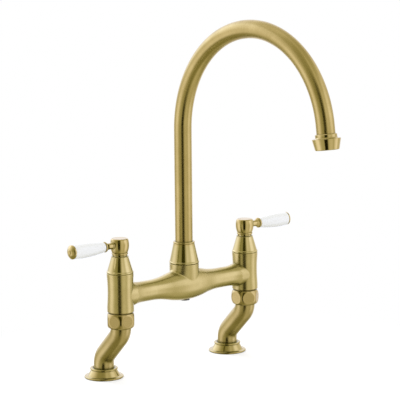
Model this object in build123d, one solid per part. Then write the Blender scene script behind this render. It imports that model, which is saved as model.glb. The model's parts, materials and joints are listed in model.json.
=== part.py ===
from build123d import *
import math
import os

# A bridge kitchen tap: two cranked legs on the deck carry two valve pillars,
# a bellied bridge joins the pillars, and a swivelling gooseneck spout stands on
# the bridge's middle. Each pillar holds a quarter-turn ceramic disc valve.
#
# Millimetres. +Z is up, +X runs along the bridge to the right-hand valve, and
# -Y points to the person at the sink. The origin lies on the deck, midway
# between the two deck holes.

# ---------------------------------------------------------------- clearances
fit_gap = 0.05  # radial gap where one piece is screwed or pushed into another
running_gap = 0.05  # radial gap round a shaft that turns in its bore
turning_gap = 0.3  # open gap between a turning piece and a fixed one
loose_gap = 0.3  # radial gap of a cover that slides over another piece
disc_face_gap = 0.02  # open gap between the two lapped faces of the valve discs

# ------------------------------------------------------------ overall layout
inlet_centres = 200.0  # from one deck hole to the other
crank_offset = 34.0  # the bridge stands this far in front of the deck holes

# --------------------------------------------------------------- deck flange
flange_rim_r = 23.75
flange_rim_h = 2.4
flange_foot_r = 19.5  # where the cone of the flange meets its cove
flange_foot_h = 3.0
flange_ring_r = 16.9
flange_ring_h = 2.2
flange_h = 12.2
flange_neck_in = 1.1  # the neck below the ring is this much smaller than the ring
flange_dish = 1.2  # countersink round the leg

# ----------------------------------------------------------------- cranked leg
leg_r = 12.25
water_r = 7.5  # waterway through a leg and up into a pillar
bend_r = 20.0
crank_deg = 45.0
low_corner_h = 25.0  # height at which the lower bend's two runs would meet
top_run = 5.5  # straight run between the upper bend and the leg's top
foot_r = 17.0
foot_h = 2.4
deck_seal_h = 1.5
inlet_r = 9.3  # root radius of the half-inch female thread
inlet_depth = 14.0
inlet_lead_in = 0.5
tail_r = 10.5  # outside of the male thread that comes up through the deck

# --------------------------------------------------------------- union joint
union_r = 13.5  # thread on a pillar's lower spigot
union_collar_h = 3.0  # collar on the leg that the nut pulls up
union_washer_h = 1.5
nut_h = 18.0
nut_lip_h = 3.0
nut_wall = 2.45  # least wall, at the middle of each flat
nut_flat_r = 7.4  # each flat is a circle of this radius
nut_foot = 1.4  # chamfer round the nut's foot
nut_show = 1.5  # open gap between a nut and the pillar above it
left_nut_turn = 52.0  # where each nut came to rest when it was tightened
right_nut_turn = 33.0

# --------------------------------------------------------------------- pillar
pillar_r = 16.0
pillar_h = 46.4
pillar_band_h = 6.5  # straight band at each end of the waist
pillar_waist = 0.8  # the waist is this much smaller in radius
pillar_edge = 0.6
bridge_rise = 19.2  # bridge axis above the pillar's lower shoulder
seat_rise = 11.8  # valve seat above the pillar's lower shoulder
seat_r = 5.6
seat_web = 2.5

# ------------------------------------------------------------ valve cartridge
disc_r = 7.5
disc_h = 2.3
disc_port_deg = 88.0  # each disc has two open ports of this angle
disc_rim = 1.3
disc_core_r = 1.4
disc_slot_h = 1.3
seal_h = 3.0
cartridge_wall = 1.4
cartridge_flow = 0.55  # annulus round the cartridge that the water leaves by
thread_step = 1.4
thread_start = 22.0  # cartridge thread starts this far above the valve seat
valve_window_w = 7.0
valve_window_h = 5.0
cartridge_lip = 1.0
cartridge_lip_h = 2.0
cartridge_hex = 17.0
cartridge_hex_h = 6.0
stem_guide_wall = 2.3
stem_r = 4.5
carrier_h = 3.0
carrier_drop = 5.6  # open height between the moving disc and the carrier
drive_w = 4.0
spline_r = 4.0
spline_depth = 0.35
spline_count = 20

# --------------------------------------------------------------------- shroud
shroud_h = 20.6
shroud_bead_h = 2.6
shroud_bead_out = 0.15  # the bead stands out past the pillar
shroud_step = 0.95  # the cone starts this far inside the bead
shroud_top_r = 10.25
shroud_lip_h = 1.1
shroud_wall = 1.5
shroud_lid_h = 1.5
shroud_spigot_wall = 2.3
shroud_spigot_h = 4.0

# ------------------------------------------------------------------------ hub
hub_h = 16.7
hub_r = 11.3
hub_top_r = 10.3
hub_foot_r = 9.6
hub_edge = 0.9
hub_ring_r = 9.9
hub_ring_h = 2.3
hub_neck_r = 9.0
hub_neck_h = 1.6
hub_tail_r = 6.5
socket_depth = 7.6
hub_web = 3.0
hub_screw_r = 1.5
hub_screw_l = 6.0
hub_screw_head_r = 3.4
hub_screw_head_h = 2.6
hub_pocket_r = 4.6
hub_cap_h = 1.6
hub_cap_rim = 2.4
hex_key = 2.5  # across the flats of the key that fits both screws

# ---------------------------------------------------------------------- lever
lever_rise = 9.1  # lever axis above the hub's foot
neck_r = 3.8
neck_l = 13.1  # from the hub's widest point to the ceramic
neck_shoulder_r = 4.5
neck_shoulder_l = 1.0
neck_flare_r = 6.3
neck_flare_l = 6.0
neck_bead_l = 2.4
shank_r = 3.0
shank_wall = 1.5
rod_r = 2.5
lever_l = 45.5
lever_root_r = 6.2
lever_belly_r = 9.0
lever_belly_at = 31.0
lever_end_r = 8.5
lever_edge = 1.2
lever_cap_l = 5.6
lever_cap_rim = 1.8
lever_cap_in = 0.2  # the brass cap is this much smaller than the ceramic's end
lever_button_r = 3.0
lever_button_h = 0.9

# --------------------------------------------------------------------- bridge
bridge_r = 12.3
bridge_bore_r = 7.0
bridge_spigot_wall = 1.9
belly_r = 19.1
belly_half_l = 55.0
flare_l = 15.0
flare_out = 2.2
boss_r = 17.9
boss_rise = 26.3  # boss top above the bridge axis
boss_blend = 3.5
boss_edge = 0.5

# ----------------------------------------------------------- spout swivel
spigot_r = 9.95
spigot_wall = 2.4
spigot_port_r = 4.5
spigot_flange_r = 13.2
spigot_flange_h = 4.0
spigot_plug_h = 12.0
spigot_tail = 13.5  # solid end of the spigot below the bridge axis
port_clear = 5.2  # closed end of the spigot's bore below the bridge axis
chamber_step = 1.5
chamber_h = 8.0  # half the height of the chamber round the ports
land_h = 9.0  # upper sealing land above the chamber
bush_wall = 1.5
bush_flange_out = 3.4
bush_flange_h = 2.0
seal_section = 1.7
screw_r = 3.0
screw_thread_r = 2.5
screw_thread_l = 7.0
screw_head_r = 6.2
screw_floor = 3.0
screw_proud = 0.5  # its head stands out of the belly

# --------------------------------------------------------------- spout collar
collar_h = 26.5
collar_bead_out = 0.5  # bottom bead stands out past the boss
collar_bead_h = 2.6
collar_foot_in = 0.3
collar_top_out = 2.3  # top of the cone past the tube
collar_ring_h = 2.4
collar_ring_out = 0.25
collar_wall = 2.2
collar_grip = 11.0  # length over which the collar grips the tube

# ---------------------------------------------------------------------- spout
spout_r = 10.7
spout_wall = 1.2
riser_h = 163.4  # from the boss top to the start of the arch
arch_r = 126.0  # from the riser to the arch's top
arch_fall_r = 117.3  # from the top to the outlet, a little tighter
arch_deg = 173.0
tip_run = 15.3  # straight tube past the arch, most of it inside the nozzle

# --------------------------------------------------------------------- nozzle
nozzle_from_tip = 7.6  # the nozzle starts this far back from the tube's end
nozzle_ring_out = 1.75
nozzle_ring_l = 4.0
nozzle_lip_out = 5.7
nozzle_lip_l = 1.1
nozzle_l = 17.9
nozzle_mouth_out = 3.1
nozzle_edge = 0.5
tip_stop_l = 1.4  # ledge in the nozzle that the tube's end meets
tip_ledge = 0.7
aerator_gap_in = 0.9
aerator_out = 0.45
aerator_washer_h = 1.5
aerator_washer_w = 2.4
aerator_hole_r = 0.85
aerator_pitch = 2.6
aerator_rings = 3
aerator_face_h = 1.4
aerator_wall = 1.3

# ------------------------------------------- heights and radii worked out
leg_low = deck_seal_h
foot_top = leg_low + foot_h
high_corner_h = low_corner_h + crank_offset / math.tan(math.radians(crank_deg))
bend_reach = bend_r * math.tan(math.radians(crank_deg / 2))
leg_top = high_corner_h + bend_reach + top_run
washer_top = leg_top + union_washer_h
collar_low = leg_top - union_collar_h
nut_low = collar_low - fit_gap - nut_lip_h
nut_top = nut_low + nut_h
pillar_low = nut_top + nut_show
pillar_top = pillar_low + pillar_h
pillar_y = -crank_offset
half_pitch = inlet_centres / 2

bridge_z = pillar_low + bridge_rise
boss_top = bridge_z + boss_rise

seat_z = pillar_low + seat_rise
fixed_disc_z = seat_z + seal_h
moving_disc_z = fixed_disc_z + disc_h + disc_face_gap
moving_disc_top = moving_disc_z + disc_h
carrier_z = moving_disc_top + carrier_drop
carrier_top = carrier_z + carrier_h
cartridge_bore_r = disc_r + running_gap
cartridge_r = cartridge_bore_r + cartridge_wall
valve_bore_r = cartridge_r + cartridge_flow
cartridge_thread_r = valve_bore_r + thread_step
cartridge_thread_z = seat_z + thread_start
top_spigot_r = cartridge_thread_r + fit_gap + shroud_spigot_wall
top_spigot_z = pillar_top + shroud_spigot_h
cartridge_lip_top = top_spigot_z + cartridge_lip_h
cartridge_hex_top = cartridge_lip_top + cartridge_hex_h
stem_bore_r = stem_r + running_gap

shroud_low = pillar_top
shroud_top = shroud_low + shroud_h
shroud_bead_r = pillar_r + shroud_bead_out
shroud_foot_r = shroud_bead_r - shroud_step
lid_under = shroud_top - shroud_lid_h
stem_guide_top = lid_under - 1.5
hub_ring_low = shroud_top + turning_gap
hub_foot = hub_ring_low + hub_neck_h + hub_ring_h
hub_top = hub_foot + hub_h
lever_z = hub_foot + lever_rise
socket_top = hub_foot + socket_depth
spline_top = socket_top - 0.3
web_top = socket_top + hub_web
hub_cap_r = hub_top_r - hub_cap_rim
hub_cap_z = hub_top - hub_cap_h

ceramic_start = hub_r + neck_l
ceramic_end = ceramic_start + lever_l

bridge_spigot_r = bridge_bore_r + bridge_spigot_wall
bridge_end = half_pitch - valve_bore_r - 0.7
land_r = spigot_r + running_gap
chamber_r = land_r + chamber_step
chamber_low = bridge_z - chamber_h
chamber_top = bridge_z + chamber_h
land_top = chamber_top + land_h
bush_r = land_r + bush_wall
bush_top = boss_top + bush_flange_h
spigot_flange_z = bush_top + 2 * running_gap
tube_low = spigot_flange_z + spigot_flange_h
spigot_low = bridge_z - spigot_tail
land_low = spigot_low - 2 * running_gap
floor_low = land_low - screw_floor
screw_low = bridge_z - belly_r - screw_proud

collar_low_z = boss_top + turning_gap
collar_top_z = collar_low_z + collar_h
arch_z = boss_top + riser_h
spout_bore_r = spout_r - spout_wall


# -------------------------------------------------------------------- helpers
def outline(*corners):
    """A closed outline in (radius, height); a pair of points stands for an arc, its middle and end."""
    edges = []
    last = corners[0]
    for corner in corners[1:] + corners[:1]:
        if isinstance(corner[0], tuple):
            middle, end = corner
            edges.append(ThreePointArc(spot(last), spot(middle), spot(end)))
        else:
            end = corner
            edges.append(Line(spot(last), spot(end)))
        last = end
    return make_face(edges)


def spot(corner):
    """A point of an outline, placed in the XZ plane."""
    return (corner[0], 0, corner[1])


def turned(*corners):
    """Turns an outline about Z."""
    return revolve(outline(*corners), Axis.Z)


def rod(radius, low, high):
    """A plain cylinder about Z between two heights."""
    return Pos(0, 0, (low + high) / 2) * Cylinder(radius, high - low)


def ring(inner, outer, low, high):
    """A plain ring about Z between two heights."""
    return rod(outer, low, high) - rod(inner, low - 1, high + 1)


def hexagon(flats, low, high):
    """A hexagonal bar about Z between two heights."""
    face = RegularPolygon(flats / 2, 6, major_radius=False)
    return Pos(0, 0, low) * extrude(face, high - low)


def splined(radius, low, high):
    """A serrated bar about Z: its teeth are straight-sided."""
    root = radius - spline_depth
    points = []
    for step in range(2 * spline_count):
        points.append(polar(radius if step % 2 == 0 else root, 180 * step / spline_count))
    return Pos(0, 0, low) * extrude(make_face(Polyline(*points, close=True)), high - low)


def polar(reach, turn_deg):
    """A point at a distance and an angle."""
    turn = math.radians(turn_deg)
    return (reach * math.cos(turn), reach * math.sin(turn))


def port(start_deg, inner, outer, low, high):
    """A sector of a ring, as wide as one port of a valve disc."""
    turns = (start_deg - disc_port_deg / 2, start_deg, start_deg + disc_port_deg / 2)
    inside = [polar(inner, turn) for turn in turns]
    outside = [polar(outer, turn) for turn in turns]
    edges = [
        ThreePointArc(*outside),
        Line(outside[2], inside[2]),
        ThreePointArc(*inside),
        Line(inside[0], outside[0]),
    ]
    return Pos(0, 0, low) * extrude(make_face(edges), high - low)


def along_x(shape):
    """Lays a shape that was turned about Z along +X."""
    return Rotation(0, 90, 0) * shape


def cut(shape, *tools):
    """Takes each tool out of a shape."""
    for tool in tools:
        shape = shape - tool
    return shape


# ------------------------------------------------------------- feet and legs
def deck_seal():
    """Flat fibre seal under the foot of a leg."""
    return ring(tail_r + loose_gap, foot_r - 0.5, 0, deck_seal_h)


def deck_flange():
    """Stepped cover ring: a ringed neck, a cone, a cove and a round rim."""
    bore = leg_r + loose_gap
    neck = flange_ring_r - flange_neck_in
    ring_low = flange_h - flange_ring_h
    ring_mid = flange_h - flange_ring_h / 2
    cavity_r = foot_r + loose_gap
    cavity_top = foot_top + loose_gap
    rim_mid = flange_rim_h / 2
    cove_end = flange_rim_r - rim_mid
    cove_mid_r = flange_foot_r + 0.36 * (cove_end - flange_foot_r)
    cove_mid_h = flange_rim_h + 0.36 * (flange_foot_h - flange_rim_h)
    return turned(
        (bore, cavity_top),
        (bore, flange_h - flange_dish),
        (bore + flange_dish, flange_h),
        (neck, flange_h),
        ((flange_ring_r, ring_mid), (neck, ring_low)),
        (neck - 0.15, ring_low - 0.3),
        (flange_foot_r, flange_foot_h),
        ((cove_mid_r, cove_mid_h), (cove_end, flange_rim_h)),
        ((flange_rim_r, rim_mid), (cove_end, 0)),
        (cavity_r, 0),
        (cavity_r, cavity_top),
    )


def leg():
    """Cranked leg: a foot that bears on the seal, an S bend and a union collar."""
    path = FilletPolyline(
        (0, 0, leg_low),
        (0, 0, low_corner_h),
        (0, pillar_y, high_corner_h),
        (0, pillar_y, leg_top),
        radius=bend_r,
    )
    start = Plane(origin=(0, 0, leg_low), z_dir=(0, 0, 1))
    tube = sweep(start * Circle(leg_r), path)
    bore = sweep(start * Circle(water_r), path)
    foot = turned(
        (0, leg_low),
        (foot_r, leg_low),
        (foot_r, foot_top - 0.5),
        (foot_r - 0.5, foot_top),
        (0, foot_top),
    )
    collar = rod(union_r - 0.25, collar_low, leg_top)
    thread = rod(inlet_r, leg_low - 1, leg_low + inlet_depth)
    lead_in = turned(
        (0, leg_low),
        (inlet_r + inlet_lead_in, leg_low),
        (inlet_r, leg_low + inlet_lead_in),
        (0, leg_low + inlet_lead_in),
    )
    return cut(tube + foot + Pos(0, pillar_y, 0) * collar, bore, thread, lead_in)


def union_washer():
    """Flat washer squeezed between a leg and its pillar."""
    return ring(water_r + 0.3, union_r - 0.3, leg_top, washer_top)


def union_nut(turn):
    """Ball-shaped hexagon nut: each flat is a full circle cut from the ball."""
    half_flats = union_r + fit_gap + nut_wall
    ball_r = math.hypot(half_flats, nut_flat_r)
    half_h = nut_h / 2
    top_r = math.sqrt(ball_r**2 - half_h**2)
    shoulder_r = math.sqrt(ball_r**2 - (half_h - nut_foot) ** 2)
    ball = turned(
        (0, nut_low),
        (shoulder_r - nut_foot, nut_low),
        (shoulder_r, nut_low + nut_foot),
        ((ball_r, nut_low + half_h), (top_r, nut_top)),
        (0, nut_top),
    )
    body = ball & Rotation(0, 0, turn) * hexagon(2 * half_flats, nut_low, nut_top)
    lip_bore = rod(leg_r + loose_gap, nut_low - 1, nut_top)
    thread = rod(union_r + fit_gap, nut_low + nut_lip_h, nut_top + 1)
    return cut(body, lip_bore, thread)


# --------------------------------------------------------------- valve pillars
def pillar_envelope(grow):
    """The pillar's waisted outside, grown by a gap, for the pillar and for the bridge's saddles."""
    r = pillar_r + grow
    low = pillar_low + pillar_band_h
    high = pillar_top - pillar_band_h / 2
    waist = (r - pillar_waist, (low + high) / 2)
    return turned(
        (0, pillar_low),
        (r - pillar_edge, pillar_low),
        (r, pillar_low + pillar_edge),
        (r, low),
        (waist, (r, high)),
        (r, pillar_top - pillar_edge),
        (r - pillar_edge, pillar_top),
        (0, pillar_top),
    )


def pillar(inward):
    """Waisted pillar: a union spigot below, the valve seat inside and the shroud's spigot on top."""
    body = pillar_envelope(0)
    body += rod(union_r, washer_top, pillar_low + 1)
    body += rod(top_spigot_r, pillar_top - 1, top_spigot_z)
    side_port = Pos(0, 0, bridge_z) * along_x(rod(bridge_spigot_r + fit_gap, 0, pillar_r + 2))
    if inward < 0:
        side_port = mirror(side_port, about=Plane.YZ)
    return cut(
        body,
        rod(water_r, washer_top - 1, seat_z - seat_web),
        rod(seat_r, seat_z - seat_web - 1, seat_z + 1),
        rod(valve_bore_r, seat_z, cartridge_thread_z),
        rod(cartridge_thread_r + fit_gap, cartridge_thread_z, top_spigot_z + 1),
        side_port,
    )


def seat_seal():
    """Rubber ring between the valve seat and the fixed disc."""
    return ring(seat_r, disc_r - 0.1, seat_z, fixed_disc_z)


def valve_disc(low, start_deg):
    """Ceramic disc with two ports."""
    disc = rod(disc_r, low, low + disc_h)
    for side in (0, 180):
        disc -= port(start_deg + side, disc_core_r, disc_r - disc_rim, low - 1, low + disc_h + 1)
    return disc


def fixed_disc():
    """Lower disc: it never turns."""
    return valve_disc(fixed_disc_z, 0)


def moving_disc():
    """Upper disc: closed at rest, driven by a slot in its top."""
    slot_low = moving_disc_top - disc_slot_h
    slot = Box(4 * disc_r, drive_w + 4 * running_gap, 2 * disc_slot_h)
    return valve_disc(moving_disc_z, 90) - Pos(0, 0, slot_low + disc_slot_h) * slot


def cartridge_body():
    """Brass valve body: a windowed sleeve, a thread, a hexagon and a stem guide."""
    body = rod(cartridge_r, seat_z, cartridge_thread_z + 1)
    body += rod(cartridge_thread_r, cartridge_thread_z, top_spigot_z + 0.5)
    body += rod(cartridge_thread_r + cartridge_lip, top_spigot_z, cartridge_lip_top)
    body += hexagon(cartridge_hex, cartridge_lip_top, cartridge_hex_top)
    body += rod(stem_r + stem_guide_wall, cartridge_hex_top - 1, stem_guide_top)
    window = Box(4 * cartridge_r, valve_window_w, valve_window_h)
    window_z = moving_disc_top + valve_window_h / 2 + 0.3
    return cut(
        body,
        rod(cartridge_bore_r, seat_z - 1, carrier_top + 0.2),
        rod(stem_bore_r, carrier_top, stem_guide_top + 1),
        Pos(0, 0, window_z) * window,
        Pos(0, 0, window_z) * Rotation(0, 0, 90) * window,
    )


def spindle():
    """Valve stem: a drive blade, a carrier, a round stem and a splined top."""
    blade_low = moving_disc_top - disc_slot_h + running_gap
    blade_w = 2 * (disc_r - 0.6)
    blade = Pos(0, 0, (blade_low + carrier_z + 0.5) / 2) * Box(blade_w, drive_w, carrier_z + 0.5 - blade_low)
    stem = blade + rod(disc_r, carrier_z, carrier_top)
    stem += rod(stem_r, carrier_top - 0.5, stem_guide_top + 0.4)
    stem += splined(spline_r, stem_guide_top, spline_top)
    screw_hole = rod(hub_screw_r + fit_gap, spline_top - hub_screw_l, spline_top + 1)
    return stem - screw_hole


def shroud():
    """Conical cover with a bead at its foot and a fine lip at its top."""
    bead_mid = shroud_low + shroud_bead_h / 2
    cone_low = shroud_low + shroud_bead_h + 0.5
    lip_low = shroud_top - shroud_lip_h
    bore = top_spigot_r + fit_gap
    inside_z = top_spigot_z + 0.2
    slope = (shroud_foot_r - shroud_top_r) / (lip_low - cone_low)
    inside_r = shroud_foot_r - slope * (inside_z - cone_low) - shroud_wall
    top_inside_r = shroud_top_r + slope * (lip_low - lid_under) - shroud_wall
    hole = stem_r + stem_guide_wall + 0.5
    return turned(
        (bore, shroud_low),
        (shroud_bead_r - 0.7, shroud_low),
        ((shroud_bead_r, bead_mid), (shroud_bead_r - 0.7, shroud_low + shroud_bead_h)),
        (shroud_foot_r, cone_low),
        (shroud_top_r, lip_low),
        (shroud_top_r + 0.25, lip_low + 0.3),
        (shroud_top_r + 0.25, shroud_top - 0.3),
        (shroud_top_r - 0.1, shroud_top),
        (hole, shroud_top),
        (hole, lid_under),
        (top_inside_r, lid_under),
        (inside_r, inside_z),
        (bore, inside_z),
    )


# ------------------------------------------------------------ hubs and levers
def hub_ring():
    """Turned ring between the shroud and the hub: a thin neck and a bead."""
    neck_top = hub_ring_low + hub_neck_h
    bead_mid = neck_top + hub_ring_h / 2
    bore = hub_tail_r + fit_gap
    return turned(
        (bore, hub_ring_low),
        (hub_neck_r, hub_ring_low),
        (hub_neck_r, neck_top),
        (hub_ring_r - 0.6, neck_top),
        ((hub_ring_r, bead_mid), (hub_ring_r - 0.6, hub_foot)),
        (bore, hub_foot),
    )


def hub():
    """Barrel-shaped hub: a splined socket below, a screw pocket above, the lever's hole in its side."""
    body = turned(
        (0, hub_ring_low),
        (hub_tail_r, hub_ring_low),
        (hub_tail_r, hub_foot),
        (hub_foot_r - 0.4, hub_foot),
        (hub_foot_r, hub_foot + 0.4),
        ((hub_r, lever_z), (hub_top_r, hub_top - hub_edge)),
        (hub_top_r - hub_edge, hub_top),
        (0, hub_top),
    )
    shank_in = spline_r + fit_gap + shank_wall
    side_hole = rod(shank_r + fit_gap, shank_in, hub_r + 1)
    side_hole += rod(neck_shoulder_r + 0.2, hub_r - neck_shoulder_l, hub_r + 1)
    return cut(
        body,
        splined(spline_r + fit_gap, hub_ring_low - 1, socket_top),
        rod(hub_screw_r + 0.2, socket_top - 1, web_top + 1),
        rod(hub_pocket_r, web_top, hub_top),
        rod(hub_cap_r + fit_gap, hub_cap_z, hub_top + 1),
        Pos(0, 0, lever_z) * along_x(side_hole),
    )


def hub_screw():
    """Socket screw that holds the hub on the splined stem."""
    head = rod(hub_screw_head_r, web_top, web_top + hub_screw_head_h)
    shank = rod(hub_screw_r, spline_top - hub_screw_l + 0.5, web_top + 0.5)
    key = hexagon(hex_key, web_top + hub_screw_head_h / 2, web_top + hub_screw_head_h + 1)
    return head + shank - key


def hub_cap():
    """Flat brass cap let into the hub's top."""
    edge = 0.25
    return turned(
        (0, hub_cap_z),
        (hub_cap_r, hub_cap_z),
        (hub_cap_r, hub_top - edge),
        (hub_cap_r - edge, hub_top),
        (0, hub_top),
    )


def lever_neck():
    """Brass neck with a trumpet flare and a bead, a screwed shank and a rod through the ceramic."""
    shank_in = spline_r + fit_gap + shank_wall + 0.2
    seat = hub_r - neck_shoulder_l
    flare_start = ceramic_start - neck_bead_l - neck_flare_l
    flare_end = ceramic_start - neck_bead_l
    flare_mid = (neck_r + 0.3 * (neck_flare_r - neck_r), flare_start + 0.6 * neck_flare_l)
    bead_mid = (neck_flare_r, flare_end + 0.5 * neck_bead_l)
    rod_end = ceramic_end + lever_cap_l - 2.0
    body = turned(
        (0, shank_in),
        (shank_r, shank_in),
        (shank_r, seat),
        (neck_shoulder_r, seat),
        (neck_shoulder_r, hub_r + 0.3),
        (neck_r, hub_r + 0.6),
        (neck_r, flare_start),
        (flare_mid, (neck_flare_r - 0.25, flare_end)),
        (bead_mid, (neck_flare_r - 0.9, ceramic_start)),
        (rod_r, ceramic_start),
        (rod_r, rod_end),
        (0, rod_end),
    )
    return Pos(0, 0, lever_z) * along_x(body)


def ceramic_lever():
    """White glazed ceramic grip: slim at the neck, fullest two thirds of the way out."""
    bore = rod_r + fit_gap
    belly = ceramic_start + lever_belly_at
    rise_mid = lever_root_r + 0.62 * (lever_belly_r - lever_root_r)
    fall_mid = lever_end_r + 0.75 * (lever_belly_r - lever_end_r)
    body = turned(
        (bore, ceramic_start),
        (lever_root_r - lever_edge, ceramic_start),
        ((lever_root_r - 0.3, ceramic_start + 0.3 * lever_edge), (lever_root_r, ceramic_start + lever_edge)),
        ((rise_mid, ceramic_start + 0.45 * lever_belly_at), (lever_belly_r, belly)),
        ((fall_mid, (belly + ceramic_end) / 2), (lever_end_r, ceramic_end - lever_edge / 2)),
        (lever_end_r - lever_edge / 2, ceramic_end),
        (bore, ceramic_end),
    )
    return Pos(0, 0, lever_z) * along_x(body)


def end_cap():
    """Domed brass cap with a button, screwed on the lever's rod."""
    start = ceramic_end
    rim = lever_end_r - lever_cap_in
    dome_start = start + lever_cap_rim
    dome_end = start + lever_cap_l - lever_button_h
    dome_mid = (0.72 * rim, dome_start + 0.55 * (dome_end - dome_start))
    button_top = start + lever_cap_l
    body = turned(
        (0, start),
        (rim - 0.3, start),
        (rim, start + 0.3),
        (rim, dome_start - 0.3),
        (rim - 0.4, dome_start),
        (dome_mid, (lever_button_r, dome_end)),
        ((lever_button_r - 0.35, button_top - 0.25), (lever_button_r - 1.1, button_top)),
        (0, button_top),
    )
    hole = rod(rod_r + fit_gap, start - 1, start + lever_cap_l - 1.8)
    return Pos(0, 0, lever_z) * along_x(body - hole)


# ----------------------------------------------------------------- the bridge
def boss_seam(body):
    """The edges where the boss rises out of the belly."""
    seam = []
    for edge in body.edges():
        size = edge.bounding_box().size
        if size.Y > boss_r and size.Z > boss_edge and edge.center().Z > bridge_z:
            seam.append(edge)
    return seam


def bridge():
    """Bellied bridge with a boss for the spout and saddled ends that plug into the pillars."""
    flare_start = half_pitch - pillar_r - flare_l
    flare_mid = (bridge_r + 0.25 * flare_out, flare_start + 0.5 * flare_l)
    turn_r = (bridge_r + belly_r) / 2
    half = belly_half_l / 2
    arc_r = (half**2 + (belly_r - turn_r) ** 2) / (2 * (belly_r - turn_r))
    quarter_sag = arc_r - math.sqrt(arc_r**2 - (half / 2) ** 2)
    right = turned(
        (0, 0),
        (belly_r, 0),
        ((belly_r - quarter_sag, half / 2), (turn_r, half)),
        ((bridge_r + quarter_sag, 1.5 * half), (bridge_r, belly_half_l)),
        (bridge_r, flare_start),
        (flare_mid, (bridge_r + flare_out, flare_start + flare_l)),
        (bridge_r + flare_out, half_pitch),
        (0, half_pitch),
    )
    arm = along_x(right)
    beam = Pos(0, 0, bridge_z) * (arm + mirror(arm, about=Plane.YZ))
    boss = turned(
        (0, bridge_z),
        (boss_r, bridge_z),
        (boss_r, boss_top - boss_edge),
        (boss_r - boss_edge, boss_top),
        (0, boss_top),
    )
    body = beam + boss
    body = fillet(boss_seam(body), boss_blend)
    for side in (-1, 1):
        body -= Pos(side * half_pitch, 0, 0) * pillar_envelope(fit_gap)
    tie = Pos(0, 0, bridge_z) * along_x(rod(bridge_spigot_r, -bridge_end, bridge_end))
    waterway = Pos(0, 0, bridge_z) * along_x(rod(bridge_bore_r, -half_pitch, half_pitch))
    return cut(
        body + tie,
        waterway,
        rod(bush_r + fit_gap, land_top, boss_top + 1),
        rod(land_r, land_low, boss_top),
        rod(chamber_r, chamber_low, chamber_top),
        rod(screw_r + running_gap, floor_low - 1, land_low + 1),
        rod(screw_head_r + turning_gap, bridge_z - belly_r - 1, floor_low),
    )


# --------------------------------------------------------------- spout swivel
def swivel_bush():
    """Flanged plastic bush that carries the turning spigot in the boss."""
    sleeve = rod(bush_r, land_top, boss_top + 0.5)
    flange = rod(bush_r + bush_flange_out, boss_top, bush_top)
    return sleeve + flange - rod(land_r, land_top - 1, bush_top + 1)


def seal_heights():
    """Middle heights of the two seal grooves, one on each side of the ports."""
    upper = chamber_top + land_h / 2
    lower = (spigot_low + chamber_low) / 2
    return (upper, lower)


def spout_spigot():
    """Turning spigot: four ports at the bridge's waterway, two seal grooves and a plug for the tube."""
    plug_r = spout_bore_r - fit_gap
    body = rod(spigot_r, spigot_low, spigot_flange_z + 1)
    body += rod(spigot_flange_r, spigot_flange_z, tube_low)
    body += rod(plug_r, tube_low - 1, tube_low + spigot_plug_h)
    bore = rod(spigot_r - spigot_wall, bridge_z - port_clear, tube_low + spigot_plug_h + 1)
    ports = along_x(rod(spigot_port_r, -2 * spigot_r, 2 * spigot_r))
    body = cut(
        body,
        bore,
        Pos(0, 0, bridge_z) * ports,
        Pos(0, 0, bridge_z) * Rotation(0, 0, 90) * ports,
        rod(screw_thread_r + fit_gap, spigot_low - 1, spigot_low + screw_thread_l + 0.6),
    )
    groove_w = 1.2 * seal_section
    for middle in seal_heights():
        low = middle - groove_w / 2
        body -= ring(spigot_r - seal_section, spigot_r + 1, low, low + groove_w)
    return body


def spout_seals():
    """Two rubber rings in the spigot's grooves."""
    rings = []
    for middle in seal_heights():
        low = middle - seal_section / 2
        rings.append(ring(spigot_r - seal_section + 0.02, spigot_r, low, low + seal_section))
    return Compound(children=rings)


def spout_screw():
    """Shouldered socket screw that holds the spigot down from below the belly."""
    head_top = floor_low - 2 * running_gap
    body = rod(screw_head_r, screw_low, head_top)
    body += rod(screw_r, head_top - 0.5, spigot_low)
    body += rod(screw_thread_r, spigot_low - 0.5, spigot_low + screw_thread_l)
    return body - hexagon(2 * hex_key, screw_low - 1, screw_low + 0.6 * (head_top - screw_low))


def spout_collar():
    """Conical collar with a bead at its foot and another at its top."""
    bead_r = boss_r + collar_bead_out
    bead_mid = collar_low_z + collar_bead_h / 2
    bead_top = collar_low_z + collar_bead_h
    foot = boss_r - collar_foot_in
    top = spout_r + collar_top_out
    ring_low = collar_top_z - collar_ring_h
    ring_mid = collar_top_z - collar_ring_h / 2
    bore = spout_r + fit_gap
    grip_low = collar_top_z - collar_grip
    slope = (foot - top) / (ring_low - bead_top)
    inside_low = foot - collar_wall
    inside_high = foot - slope * (grip_low - bead_top) - collar_wall
    return turned(
        (inside_low, collar_low_z),
        (bead_r - 0.8, collar_low_z),
        ((bead_r, bead_mid), (bead_r - 0.8, bead_top)),
        (foot, bead_top + 0.4),
        (top, ring_low),
        (top - 0.35, ring_low + 0.15),
        (top - 0.35, ring_low + 0.35),
        (top, ring_low + 0.5),
        ((top + collar_ring_out, ring_mid + 0.25), (top - 0.3, collar_top_z)),
        (bore, collar_top_z),
        (bore, grip_low),
        (inside_high, grip_low),
        (inside_low, bead_top),
    )


# ---------------------------------------------------------------------- spout
def fall_spot(turn):
    """Point of the arch that lies a turn past its top, towards the outlet."""
    y = -arch_r - arch_fall_r * math.sin(turn)
    return (0, y, arch_z + arch_r - arch_fall_r * (1 - math.cos(turn)))


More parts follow.
